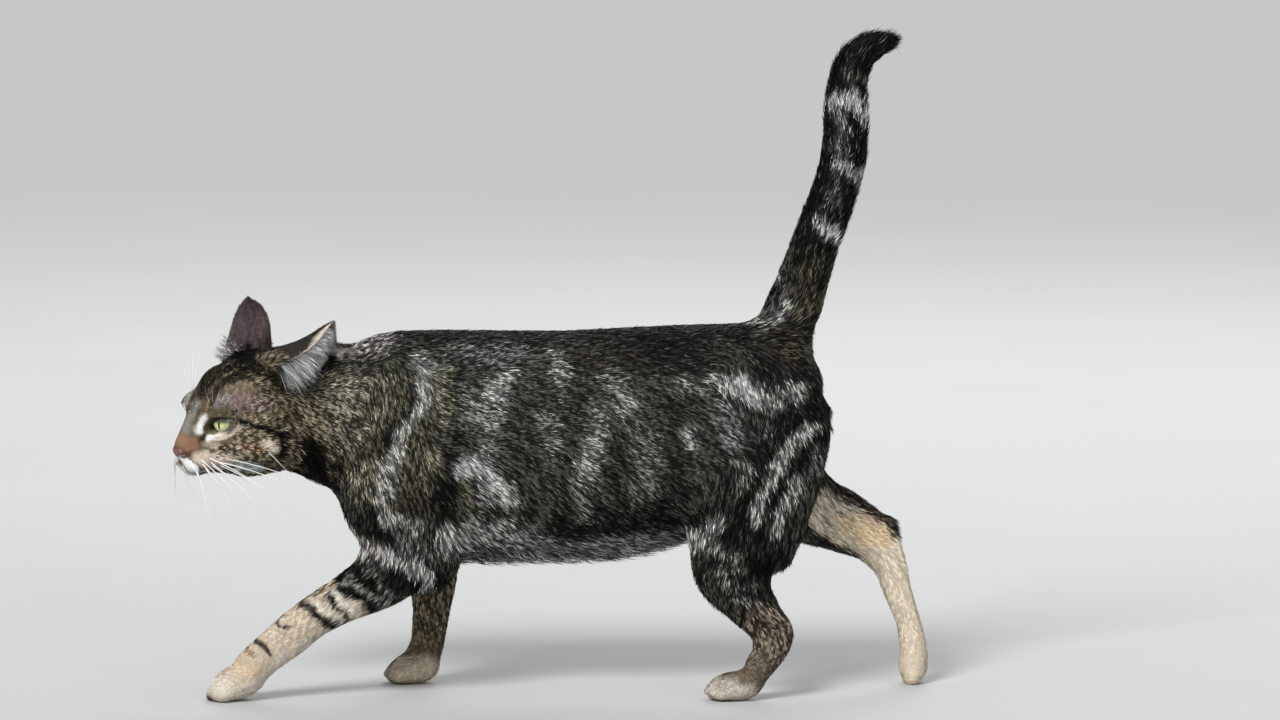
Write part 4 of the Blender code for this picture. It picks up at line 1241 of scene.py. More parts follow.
@dataclass
class Skin:
    """The one skin under the coat, softened from the carved solids and set in by the coat."""

    lay: HairLay
    voxel: float = 1.15
    body_passes: int = 44
    limb_passes: int = 16
    head_passes: int = 6
    ear_passes: int = 3
    blend_passes: int = 24
    depth_passes: int = 10
    ear_depth: float = 0.25
    least_height: float = 0.35
    triangles: int = 150000
    plain_from: float = -205.0
    face_limits: Row = (-20.0, 60.0, -200.0)
    eye_gap: float = 2.6
    # Painted shade: the skin takes the coat's colours darkened, for the shade deep under the coat.
    dim: float = 0.7
    object: Optional[Piece] = None
    edges: tuple[Array, ...] = ()
    early_labels: Optional[Array] = None
    labels: Optional[Array] = None

    def build(self, frame: dict[str, Any]) -> Piece:
        """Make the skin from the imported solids.


        Returns:
            The skin's object, not yet painted.
        """
        mesh = self.blended(frame)
        self.soften(mesh, frame)
        self.set_in(mesh)
        mesh = self.thinned(mesh)
        self.open_eyes(mesh)
        self.keep(mesh, frame)
        finish = FurFinish("undercoat_skin", 0.15, 0.8, 0.6)
        self.object = new_piece("skin", mesh, finish.material(), "coat")
        return self.object

    def blended(self, frame: dict[str, Any]) -> Mesh:
        """All solids of flesh as one closed surface."""
        flesh = bmesh.new()
        for name in FLESH:
            flesh.from_mesh(frame["nodes"][name].data)
        bmesh.ops.remove_doubles(flesh, verts=flesh.verts, dist=1e-6)
        holder = in_scene("skin_form", mesh_of(flesh, "skin"))
        remesh = holder.modifiers.new("Blend", "REMESH")
        remesh.mode = "VOXEL"
        remesh.voxel_size = self.voxel * 1.0 * MM
        return self.applied(holder)

    @staticmethod
    def applied(holder: Piece) -> Mesh:
        """The holder's mesh with its modifiers applied; the holder is removed."""
        depsgraph = bpy.context.evaluated_depsgraph_get()
        depsgraph.update()
        mesh = bpy.data.meshes.new_from_object(holder.evaluated_get(depsgraph))
        bpy.data.objects.remove(holder)
        return mesh

    def nearest_nodes(self, points: Array, frame: dict[str, Any]) -> Array:
        """For each place, which solid of flesh is nearest, as its place in FLESH."""
        total = sum(len(frame["nodes"][name].data.vertices) for name in FLESH)
        tree = KDTree(total)
        owner = []
        for index, name in enumerate(FLESH):
            for vertex in frame["nodes"][name].data.vertices:
                tree.insert(vertex.co / MM, len(owner))
                owner.append(index)
        tree.balance()
        return np.array([owner[tree.find(place)[1]] for place in points])

    def soften(self, mesh: Mesh, frame: dict[str, Any]) -> None:
        """Smooth the facets away, most on the trunk and least on the face and paws."""
        points, _, _ = mesh_arrays(mesh)
        edges = np.empty(len(mesh.edges) * 2, dtype=np.int32)
        mesh.edges.foreach_get("vertices", edges)
        first, second = edges.reshape(-1, 2).T
        count = len(points)
        ties = np.bincount(first, minlength=count) + np.bincount(second, minlength=count)
        self.edges = (first, second, ties)
        self.early_labels = self.nearest_nodes(points, frame)
        allowed = np.full(len(FLESH), self.limb_passes)
        for index, name in enumerate(FLESH):
            if name in ("neck", "chest", "belly", "hindquarters"):
                allowed[index] = self.body_passes
            elif name.startswith(("head", "ear", "forepaw", "hindpaw")):
                allowed[index] = self.ear_passes if "ear" in name else self.head_passes
        passes = self.evened(allowed[self.early_labels].astype(float), self.blend_passes)
        for step in range(self.body_passes):
            mean = self.neighbour_mean(points)
            share = 0.5 * np.clip(passes - step, 0, 1)
            points = points + (mean - points) * share[:, None]
        place_points(mesh, points)

    def evened(self, values: Array, passes: int) -> Array:
        """Values on the points, blended with their neighbours' again and again."""
        for _ in range(passes):
            values += 0.5 * (self.neighbour_mean(values[:, None])[:, 0] - values)
        return values

    def neighbour_mean(self, values: Array) -> Array:
        """The mean of each point's neighbours, column by column."""
        first, second, ties = self.edges
        count = len(values)
        out = np.empty_like(values)
        for column in range(values.shape[1]):
            out[:, column] = np.bincount(first, values[second, column], count)
            out[:, column] += np.bincount(second, values[first, column], count)
        return out / ties[:, None]

    def set_in(self, mesh: Mesh) -> None:
        """Set the skin in by the coat's depth and work the folds of the face."""
        points, normals, _ = mesh_arrays(mesh)
        depth = self.lay.at(points).depth * COAT_SHARE
        for index, name in enumerate(FLESH):
            if name.startswith("ear"):
                depth[self.early_labels == index] = self.ear_depth
        depth = self.evened(depth, self.depth_passes)
        local = HEAD.back(points)
        behind, beside, chest_side = self.face_limits
        ahead = (local[:, 0] > behind) & (points[:, 0] < chest_side)
        near = np.flatnonzero(ahead & (np.abs(local[:, 1]) < beside))
        for groove in GROOVES:
            places = local[near].copy()
            if groove.paired:
                places[:, 1] = np.abs(places[:, 1])
            away = nearest_on_path(places, groove.path)
            depth[near] += groove.depth * np.exp(-((away / groove.radius) ** 2))
        points = points - normals * depth[:, None]
        points[:, 2] = np.maximum(points[:, 2], self.least_height)
        place_points(mesh, points)

    def thinned(self, mesh: Mesh) -> Mesh:
        """The skin with fewer triangles, kept finest on the head."""
        mesh.calc_loop_triangles()
        total = len(mesh.loop_triangles)
        if total <= self.triangles:
            return mesh
        holder = in_scene("skin_form", mesh)
        points, _, _ = mesh_arrays(mesh)
        spare = holder.vertex_groups.new(name="plain")
        plain = np.flatnonzero(points[:, 0] > self.plain_from)
        spare.add([int(index) for index in plain], 1.0, "REPLACE")
        thin = holder.modifiers.new("Thin", "DECIMATE")
        thin.ratio = self.triangles / total
        thin.vertex_group = "plain"
        thin.vertex_group_factor = 4.0
        return self.applied(holder)

    def open_eyes(self, mesh: Mesh) -> None:
        """Take the skin away where the lids take over."""
        flesh = bmesh.new()
        flesh.from_mesh(mesh)
        places = np.array([vertex.co for vertex in flesh.verts]) / MM
        gone = np.zeros(len(places), dtype=bool)
        for eye in EYE_PLACES.values():
            gone |= eye.within(places, self.eye_gap)
        flesh.verts.ensure_lookup_table()
        doomed = [flesh.verts[int(index)] for index in np.flatnonzero(gone)]
        bmesh.ops.delete(flesh, geom=doomed, context="VERTS")
        flesh.to_mesh(mesh)
        flesh.free()

    def keep(self, mesh: Mesh, frame: dict[str, Any]) -> None:
        """Shade the skin smooth and note which solid each point stands for."""
        mesh.shade_smooth()
        self.labels = self.nearest_nodes(mesh_arrays(mesh)[0], frame)

    def dress(self, markings: Markings) -> None:
        """Paint the skin a little darker than the coat over it, as painted shade under the coat."""
        mesh = self.object.data
        points, normals, _ = mesh_arrays(mesh)
        shown = points + normals * (COAT_SHARE * self.lay.at(points).depth)[:, None]
        colours = markings.at(shown, normals) * self.dim
        for name, ear in EARS.items():
            chosen = np.flatnonzero(on_ear(name, points, self.labels))
            colours[chosen] = ear_colours(ear, points[chosen], normals[chosen])
        paint(mesh, colours)


def on_ear(name: str, points: Array, labels: Array) -> Array:
    """Which places, of those labelled with an ear's solid, stand clear of the head."""
    ear = EARS[name]
    local = HEAD.back(points)
    along = ear.local(points)[:, 0]
    clear = (local[:, 2] > CROWN_HEIGHT) & (along > EAR_FOOT)
    mine = (labels == FLESH.index(name)) & (local[:, 1] * ear.side > 0)
    return mine & (clear | (along > EAR_CLEAR))


def rim_share(local: Array) -> Array:
    """How near each place of an ear lies to its front or rear edge, from 0 to 1."""
    slices, slice_height, below = 31, 3, 5
    step = np.clip(local[:, 0] / slice_height + below, 0, slices - 1).astype(int)
    front, rear = np.full(slices, -99.0), np.full(slices, 99.0)
    np.maximum.at(front, step, local[:, 1])
    np.minimum.at(rear, step, local[:, 1])
    gap = np.minimum(front[step] - local[:, 1], local[:, 1] - rear[step])
    return 1 - smooth(gap, 0.7, 1.8)


def ear_colours(ear: EarPlace, points: Array, normals: Array) -> Array:
    """Linear colours of an ear: dark back, pink inside with painted shade deep in its bowl, a pale rim,
    and a painted sheen on the far ear's back.

    Args:
        ear: which ear.
        points: places on it in millimetres.
        normals: which way its skin faces there.

    Returns:
        A colour for each place.
    """
    local = ear.local(points)
    facing = normals @ ear.axes()[2]
    height = np.clip(local[:, 0] / ear.length, 0, 1)
    back = linear(Tone.EAR_BACK if ear.side > 0 else Tone.EAR_FAR)
    colour = np.tile(back, (len(points), 1))
    if ear.side < 0:
        # Painted sheen: a mauve-pink patch on the far ear's back, towards its rear edge. The far ear is
        # then darker towards its base and its tip.
        patch = np.exp(-(((local[:, 0] - 36) / 14) ** 2) - ((local[:, 1] + 8) / 9) ** 2)
        tint(colour, Tone.MAUVE, 0.7 * patch)
        colour *= (0.5 + 0.5 * smooth(-np.abs(local[:, 0] - 28), -34, -8))[:, None]
    inner = smooth(facing, 0.0, 0.45)
    flesh = linear(Tone.EAR_SKIN) * 0.62
    colour += (flesh - colour) * inner[:, None]
    hairy = np.maximum(smooth(-local[:, 1], -4, 6), smooth(height, 0.6, 0.8))
    tint(colour, Tone.SILVER, inner * hairy * 0.75)
    # Painted shade deep in the ear's bowl, darker the further in.
    tint(colour, Tone.UMBER, inner * smooth(-local[:, 2], 4, 14) * 0.6)
    brown = inner * smooth(local[:, 1], -8, 2) * smooth(-height, -0.5, -0.3) * 0.8
    tint(colour, Tone.UMBER, brown)
    rim = rim_share(local) * smooth(height, 0.05, 0.25)
    rim *= smooth(facing, 0.0, 0.14) * (1 - smooth(facing, 0.3, 0.6))
    tint(colour, Tone.CREAM, 0.8 * rim)
    return colour


@dataclass
class Lids:
    """The lids of one eye: rings from the wet edge on the ball out to the face."""

    name: str
    eye: EyePlace
    segments: int = 64
    margin: float = 1.1
    steps: tuple[Row, ...] = (
        (-0.25, -0.25), (0.05, 0.55), (0.45, 1.0), (0.95, 1.15),
        (1.6, 1.2), (2.4, 0.0), (3.3, 0.0), (4.4, 0.0),
    )
    dark: Row = (1.0, 1.0, 1.0, 0.55, 0.1, 0.0, 0.0, 0.0)
    dark_below: Row = (1.0, 0.85, 0.2, 0.0, 0.0, 0.0, 0.0, 0.0)
    bare_rings: int = 3
    wet_tone: Row = (22, 16, 14)
    dim: float = 0.85
    tuck: float = 0.35
    object: Optional[Piece] = None

    def build(self, skin: Skin) -> Piece:
        """Loft the lids out to the skin.

        Args:
            skin: the skin they meet.

        Returns:
            The lids' object, not yet painted.
        """
        tree = BVHTree.FromObject(skin.object, bpy.context.evaluated_depsgraph_get())
        angle = np.linspace(0, 2 * math.pi, self.segments, endpoint=False)
        outer = self.landing(tree, angle)
        clay = bmesh.new()
        rings = []
        spread = len(self.steps)
        for index, (wider, proud) in enumerate(self.steps):
            across, up = self.eye.almond(angle, wider)
            flat = np.clip(self.eye.ball**2 - across**2 - up**2, 4.0, None)
            on_ball = np.sqrt(flat) + (proud or self.margin)
            share = smooth(np.array(index / (spread - 1)), 0.25, 1.0)
            depth = on_ball + (outer - on_ball) * share
            rings.append(self.ring(clay, self.eye.out(np.column_stack((depth, across, up)))))
        for first, second in zip(rings, rings[1:]):
            bmesh.ops.bridge_loops(clay, edges=first + second)
        bmesh.ops.recalc_face_normals(clay, faces=clay.faces)
        self.face_out(clay)
        mesh = mesh_of(clay, self.name)
        finish = FurFinish(f"{self.name}_skin", 0.4, 0.5, 0.3)
        self.object = new_piece(self.name, mesh, finish.material(), "coat")
        return self.object

    def face_out(self, clay: Clay) -> None:
        """Turn the lids' faces away from the head if they point in."""
        gaze = Vector(self.eye.axes()[0])
        clay.normal_update()
        if sum(face.normal.dot(gaze) for face in clay.faces) < 0:
            bmesh.ops.reverse_faces(clay, faces=clay.faces)

    def landing(self, tree: BVHTree, angle: Array) -> Array:
        """How far along the gaze the skin lies under the lids' outermost ring."""
        across, up = self.eye.almond(angle, self.steps[-1][0])
        start = self.eye.out(np.column_stack((np.full_like(across, 40.0), across, up)))
        gaze = Vector(self.eye.axes()[0])
        depths = np.full(len(angle), np.nan)
        for index, place in enumerate(start):
            hit = tree.ray_cast(Vector(place) * MM, -gaze)
            if hit[0] is not None:
                depths[index] = self.eye.local(np.array([hit[0]]) / MM)[0, 0]
        known = np.isfinite(depths)
        spots = np.arange(len(angle))
        depths = np.interp(spots, spots[known], depths[known])
        for _ in range(3):
            depths = 0.5 * depths + 0.25 * (np.roll(depths, 1) + np.roll(depths, -1))
        return depths - self.tuck

    @staticmethod
    def ring(clay: Clay, places: Array) -> list[bmesh.types.BMEdge]:
        """A closed ring through places in millimetres."""
        before = set(clay.edges)
        made = bmesh.ops.create_circle(clay, cap_ends=False, segments=len(places), radius=1.0)
        for vertex, place in zip(made["verts"], places):
            vertex.co = Vector(place) * MM
        return [edge for edge in clay.edges if edge not in before]

    def dress(self, markings: Markings) -> None:
        """Paint the lids: black at the wet edge, then the face's own colours."""
        mesh = self.object.data
        points, normals, _ = mesh_arrays(mesh)
        colours = markings.at(points, normals) * self.dim
        ring = np.arange(len(points)) // self.segments
        low = smooth(-self.eye.local(points)[:, 2], -0.4, 1.0)
        rim = np.array(self.dark)[ring] * (1 - low) + np.array(self.dark_below)[ring] * low
        tint(colours, self.wet_tone, rim)
        paint(mesh, colours)


@dataclass
class Eyeball:
    """One eye: a ball with a bulging cornea."""

    name: str
    eye: EyePlace
    bulge: float = 1.3
    segments: int = 56
    rings: int = 40

    def build(self) -> Piece:
        """Make the ball and note each point's own place on the eye."""
        clay = bmesh.new()
        bmesh.ops.create_uvsphere(clay, u_segments=self.segments, v_segments=self.rings, radius=1.0)
        bmesh.ops.rotate(clay, verts=clay.verts, matrix=Matrix.Rotation(math.pi / 2, 3, "Y"))
        unit_places = np.array([vertex.co for vertex in clay.verts])
        local = unit_places * self.eye.ball
        front = smooth(unit_places[:, 0], 0.62, 0.98)
        local[:, 0] += self.bulge * front
        move_points(clay, self.eye.out(local))
        mesh = mesh_of(clay, self.name)
        local[:, 1] -= self.eye.iris_shift
        tilt = math.radians(self.eye.slant)
        across, up = local[:, 1].copy(), local[:, 2].copy()
        local[:, 1] = across * math.cos(tilt) - up * math.sin(tilt)
        local[:, 2] = across * math.sin(tilt) + up * math.cos(tilt)
        layer = mesh.attributes.new("eye_place", "FLOAT_VECTOR", "POINT")
        layer.data.foreach_set("vector", local.astype(np.float32).ravel())
        return new_piece(self.name, mesh, EyeFinish(f"{self.name}_wet").material(), "eye")


@dataclass
class Nose:
    """The nose leather with its nostrils."""

    centre: Row = (28.1, 0.0, -18.2)
    half: Row = (4.3, 7.3, 5.6)
    pitch: float = 15.0
    nostril: Row = (4.4, 4.2, -1.6)
    leather: Row = (108, 70, 60)
    rim: Row = (70, 42, 36)
    # Painted shade: near-black in the nostrils and under the leather.
    inside: Row = (34, 18, 16)

    def build(self) -> Piece:
        """Shape a fine ball into the leather pad, in the head's axes."""
        clay = bmesh.new()
        bmesh.ops.create_icosphere(clay, subdivisions=5, radius=1.0)
        place = np.array([vertex.co for vertex in clay.verts])
        local = place * self.half
        low = smooth(-local[:, 2], -1.0, 5.0)
        local[:, 1] *= 1 - 0.42 * low
        local[:, 0] -= 0.8 * low
        side = np.abs(local[:, 1])
        hole = np.hypot((side - self.nostril[1]) / 1.5, (local[:, 2] - self.nostril[2]) / 1.25)
        slit = np.hypot((side - 5.8) / 1.9, (local[:, 2] - self.nostril[2] + 0.3) / 0.75)
        front = smooth(local[:, 0], -1.0, 2.0)
        dent = 2.4 * np.exp(-(hole**2)) + 1.3 * np.exp(-(slit**2))
        seam = 0.7 * np.exp(-((local[:, 1] / 0.5) ** 2)) * smooth(-local[:, 2], 0.5, 3.0)
        local[:, 0] -= (dent + seam) * front
        turn = np.array(Matrix.Rotation(math.radians(self.pitch), 3, "Y"))
        move_points(clay, HEAD.out(local @ turn.T + self.centre))
        mesh = mesh_of(clay, "nose")
        # Painted shade: near-black in the nostril dents and on the leather's underside.
        dark = np.clip(np.exp(-(hole**2)) + 0.8 * np.exp(-(slit**2)), 0, 1) * front
        dark = np.maximum(dark, 0.85 * smooth(-local[:, 2], 3.2, 5.0))
        colours = np.tile(linear(self.leather), (len(local), 1))
        edge = np.maximum(smooth(side, 4.6, 7.0) * 0.55, smooth(-local[:, 2], -1.0, 3.5) * 0.8)
        tint(colours, self.rim, edge)
        tint(colours, self.inside, dark)
        paint(mesh, colours)
        return new_piece("nose", mesh, LeatherFinish().material(), "coat")


@dataclass
class Bristles:
    """Whiskers and brow hairs as fine tapered stalks joined in one piece."""

    steps: int = 9
    sides: int = 4
    seed: int = 77
    tone: Row = (250, 249, 246)
    cheek_hairs: tuple[tuple[Row, float], ...] = (((-24, 42, -17), 26), ((-26, 43, -21), 30))

    def build(self, skin: Skin) -> Piece:
        """Grow every bristle from the skin."""
        tree = BVHTree.FromObject(skin.object, bpy.context.evaluated_depsgraph_get())
        draw = np.random.default_rng(self.seed)
        points, triangles, colours = [], [], []
        for root, way, droop, length, width in self.plan(draw):
            root = self.on_skin(tree, root)
            share = np.linspace(0, 1, self.steps)[:, None]
            line = root + way * share * length + droop * (share**2) * length
            ring, faces = self.stalk(line, width)
            triangles.append(faces + sum(len(rows) for rows in points))
            points.append(ring)
            pale = linear(self.tone) * draw.uniform(0.9, 1.05)
            colours.append(np.tile(pale, (len(ring), 1)))
        mesh = joined("whiskers", np.vstack(points), np.vstack(triangles))
        paint(mesh, np.vstack(colours))
        return new_piece("whiskers", mesh, WhiskerFinish().material(), "coat")

    def plan(self, draw: Draw) -> Iterable[tuple]:
        """Root, way, droop, length and width of each bristle, in the model."""
        for side in (1, -1):
            for level, row in enumerate(WHISKER_ROWS):
                for index, spot in enumerate(row):
                    across, rise = 0.42 + 0.05 * index, -0.62 + 0.16 * index - 0.12 * level
                    way = unit(np.array((-0.10 - 0.20 * index, across, rise)))
                    way = unit(way + draw.normal(0, 0.07, 3))
                    length = (43 + 9 * index) * draw.uniform(0.85, 1.1)
                    yield self.on_side(side, spot, way, (-0.05, -0.16, -0.20), length, 0.8)
            for index in range(5):
                spot = (7.0 - 2.2 * index, 13.5 + 2.2 * index, 20.5 - 0.4 * index)
                way = unit(np.array((0.42 - 0.2 * index, 0.15 + 0.08 * index, 0.9)))
                length = draw.uniform(14, 20) if side > 0 else draw.uniform(28, 44)
                width = 0.22 if side > 0 else 0.42
                yield self.on_side(side, spot, way, (-0.16, 0.02, -0.05), length, width)
            for spot, length in self.cheek_hairs:
                way = unit(np.array((-0.35, 0.55, -0.55)))
                yield self.on_side(side, spot, way, (-0.1, -0.2, -0.15), length, 0.24)

    @staticmethod
    def on_side(side: int, spot: Row, way: Array, droop: Row, length: float, width: float) -> tuple:
        """One bristle's row, turned from the head's axes to the model, on the left for side 1."""
        flip = np.array((1, side, 1))
        turn = HEAD.turn().T
        root = HEAD.out(np.array(spot) * flip)
        return root, (way * flip) @ turn, (np.array(droop) * flip) @ turn, length, width

    @staticmethod
    def on_skin(tree: BVHTree, place: Array) -> Array:
        """The nearest place on the skin, in millimetres."""
        found = tree.find_nearest(Vector(place) * MM)
        return place if found[0] is None else np.array(found[0]) / MM

    def stalk(self, line: Array, width: float) -> tuple[Array, Array]:
        """A tapered stalk along a line of places."""
        along = unit(np.gradient(line, axis=0))
        across = unit(np.cross(along, (0.3, 0.1, 1.0)))
        third = np.cross(along, across)
        angle = np.arange(self.sides) * 2 * math.pi / self.sides
        taper = width / 2 * (1 - np.linspace(0, 1, self.steps) ** 1.6 * 0.92)
        ring = line[:, None] + taper[:, None, None] * (
            across[:, None] * np.cos(angle)[None, :, None] + third[:, None] * np.sin(angle)[None, :, None]
        )
        faces = []
        for step in range(self.steps - 1):
            for side in range(self.sides):
                a = step * self.sides + side
                b = step * self.sides + (side + 1) % self.sides
                faces.append((a, b, b + self.sides))
                faces.append((a, b + self.sides, a + self.sides))
        last = (self.steps - 1) * self.sides
        faces += [(last, last + 1, last + 2), (last, last + 2, last + 3), (0, 2, 1), (0, 3, 2)]
        return ring.reshape(-1, 3), np.array(faces)


@dataclass
class Ground:
    """The surface that tufts grow on: skin and lids together."""

    points: Array
    normals: Array
    triangles: Array
    labels: Array

    @classmethod
    def gather(cls, skin: Skin, lids: Sequence[Lids]) -> "Ground":
        """Join the skin's and the lids' triangles; the lids' wet edges are left out."""
        points, normals, triangles = mesh_arrays(skin.object.data)
        labels = skin.labels[triangles[:, 0]]
        head = FLESH.index("head")
        for lid in lids:
            more, facing, faces = mesh_arrays(lid.object.data)
            ring = (faces // lid.segments).min(axis=1)
            faces = faces[(ring >= lid.bare_rings) & (ring < len(lid.steps) - 2)]
            triangles = np.vstack((triangles, faces + len(points)))
            points = np.vstack((points, more))
            normals = np.vstack((normals, facing))
            labels = np.concatenate((labels, np.full(len(faces), head)))
        return cls(points, normals, triangles, labels)

    def scatter(
        self, names: Sequence[str], count: int, lay: HairLay, draw: Draw
    ) -> tuple[Array, Array, Array]:
        """Spread roots evenly over the named solids' skin, closer where the hair is short.

        Args:
            names: solids of flesh.
            count: how many roots.
            lay: the lie of the hair.
            draw: where chance comes from.

        Returns:
            Places in millimetres, the way the skin faces there, and the solid's place in FLESH.
        """
        wanted = np.isin(self.labels, [FLESH.index(name) for name in names])
        faces = self.triangles[wanted]
        labels = self.labels[wanted]
        corners = self.points[faces]
        middle = corners.mean(axis=1)
        size = np.linalg.norm(
            np.cross(corners[:, 1] - corners[:, 0], corners[:, 2] - corners[:, 0]), axis=1
        )
        length = lay.at(middle).length
        share = size / (length * tuft_width(length)) ** CROWDING
        share[middle[:, 2] < SOLE_HEIGHT] = 0
        total = np.cumsum(share)
        marks = (np.arange(count) + draw.uniform(0, 1, count)) / count * total[-1]
        chosen = np.searchsorted(total, marks)
        first, second = draw.uniform(0, 1, (2, count))
        over = first + second > 1
        first[over], second[over] = 1 - first[over], 1 - second[over]
        weights = np.column_stack((1 - first - second, first, second))[:, :, None]
        places = (corners[chosen] * weights).sum(axis=1)
        facing = unit((self.normals[faces[chosen]] * weights).sum(axis=1))
        return places, facing, labels[chosen]


CROWDING = 0.62
SOLE_HEIGHT = 0.8
LEAST_HEIGHT = 0.15


def tuft_width(length: Array) -> Array:
    """How wide a tuft of this length is."""
    return np.clip(0.22 + 0.031 * length, 0.28, 0.64)


class Unwrap(Enum):
    """How a coat piece's skin is unwrapped."""

    ROUND = "round a straight middle line"
    HEAD = "from the middle of the head"
    EARS = "along each ear, back and inside apart"
    LIMBS = "round each limb, left and right apart"


TUFT_FACES = ((0, 2, 1), (0, 3, 2), (3, 4, 2))


@dataclass(frozen=True)
class Ticking:
    """How colour changes along a tuft and from one tuft to the next.

    A mark counts as dark or deep black where the logarithm of its light lies below the
    first number, and not at all above the second.
    """

    dark: Row = (-1.7, -0.5)
    deep: Row = (-4.9, -3.6)
    pitch: float = 2.6
    lit_above: float = 0.15
    lit: Row = (1.30, 1.30, -1.1)
    dull: Row = (0.80, -0.62)
    short: Row = (2.4, 5.0)
    neutral: Row = (1.05, 1.0, 0.90)
    neutral_share: float = 0.45
    # Painted shade: how much the roots are darkened, more on dark marks, for the shade deep in the coat.
    root: Row = (0.75, -0.45)
    tip_fade: float = 0.45
    limits: Row = (0.001, 0.92)

    def shades(self, growth: "Growth", draw: Draw) -> Array:
        """Colours of each tuft's five points: darker at the root as painted shade deep in the coat,
        ticked towards the tip.

        Args:
            growth: the tufts.
            draw: where chance comes from.

        Returns:
            Five linear colours for each tuft.
        """
        count = len(growth.roots)
        level = np.log(np.maximum(growth.tones.mean(axis=1), 1e-4))
        dark = 1 - smooth(level, *self.dark)
        deep = 1 - smooth(level, *self.deep)
        seen = growth.roots + growth.way * (0.6 * growth.length)[:, None]
        lit = 0.8 * ripple(seen, self.pitch, 31) + draw.normal(0, 0.45, count) > self.lit_above
        gain = np.where(
            lit,
            self.lit[0] + self.lit[1] * dark + self.lit[2] * deep,
            self.dull[0] + self.dull[1] * dark,
        )
        gain *= np.exp(draw.normal(0, 1, count) * (0.10 + 0.22 * dark))
        gain = 1 + (gain - 1) * (0.35 + 0.65 * smooth(growth.length, *self.short))
        rows = []
        for shade in (growth.tones, growth.ends):
            plain = shade.mean(axis=1)[:, None] * self.neutral
            rows.append(shade + (plain - shade) * (self.neutral_share * dark * lit)[:, None])
        out = np.stack((*[rows[0]] * 4, rows[1]), axis=1)
        # Painted shade at the roots.
        out[:, :2] *= (self.root[0] + self.root[1] * dark)[:, None, None]
        out[:, 2:4] *= gain[:, None, None]
        out[:, 4] *= (gain * np.where(lit, 1 - self.tip_fade * dark, 1))[:, None]
        return np.clip(out, *self.limits)


@dataclass(frozen=True)
class Growth:
    """A set of tufts ready to be made: one row for each."""

    roots: Array
    outward: Array
    way: Array
    length: Array
    width: Array
    lift: Array
    tones: Array
    ends: Array
    spots: Array


@dataclass(frozen=True)
class Tress:
    """A group of long hairs inside an ear.

    They root between two heights, as shares of the ear's length, on its front or its rear
    half or both. Lean takes them across the ear and out takes them out of its opening.
    """

    count: int
    length: float
    lean: float
    out: float
    heights: Row
    halves: str = "front rear"
    tone: Tone = Tone.FROST
    width: float = 0.34

    def holds(self, across: Array, height: Array) -> Array:
        """Whether places across and along the ear belong to this group."""
        low, high = self.heights
        half = np.where(across > 1, "front" in self.halves, "rear" in self.halves)
        return half & (height > low) & (height < high)


FRINGES = {
    "ear_left": (
        Tress(2400, 22, -0.9, 0.25, (0.36, 0.85), "front"),
        Tress(2400, 22, -0.8, 0.8, (0.05, 0.62), "rear"),
        Tress(1500, 26, -1.0, 0.9, (0.02, 0.36)),
        Tress(900, 8, -0.5, 0.25, (-1.0, 0.36), "front", Tone.SHADE),
    ),
    "ear_right": (
        Tress(500, 9, 0.4, 0.22, (0.1, 0.4), "front"),
        Tress(300, 4, 0.2, 0.22, (-1.0, 0.9), "rear"),
    ),
}


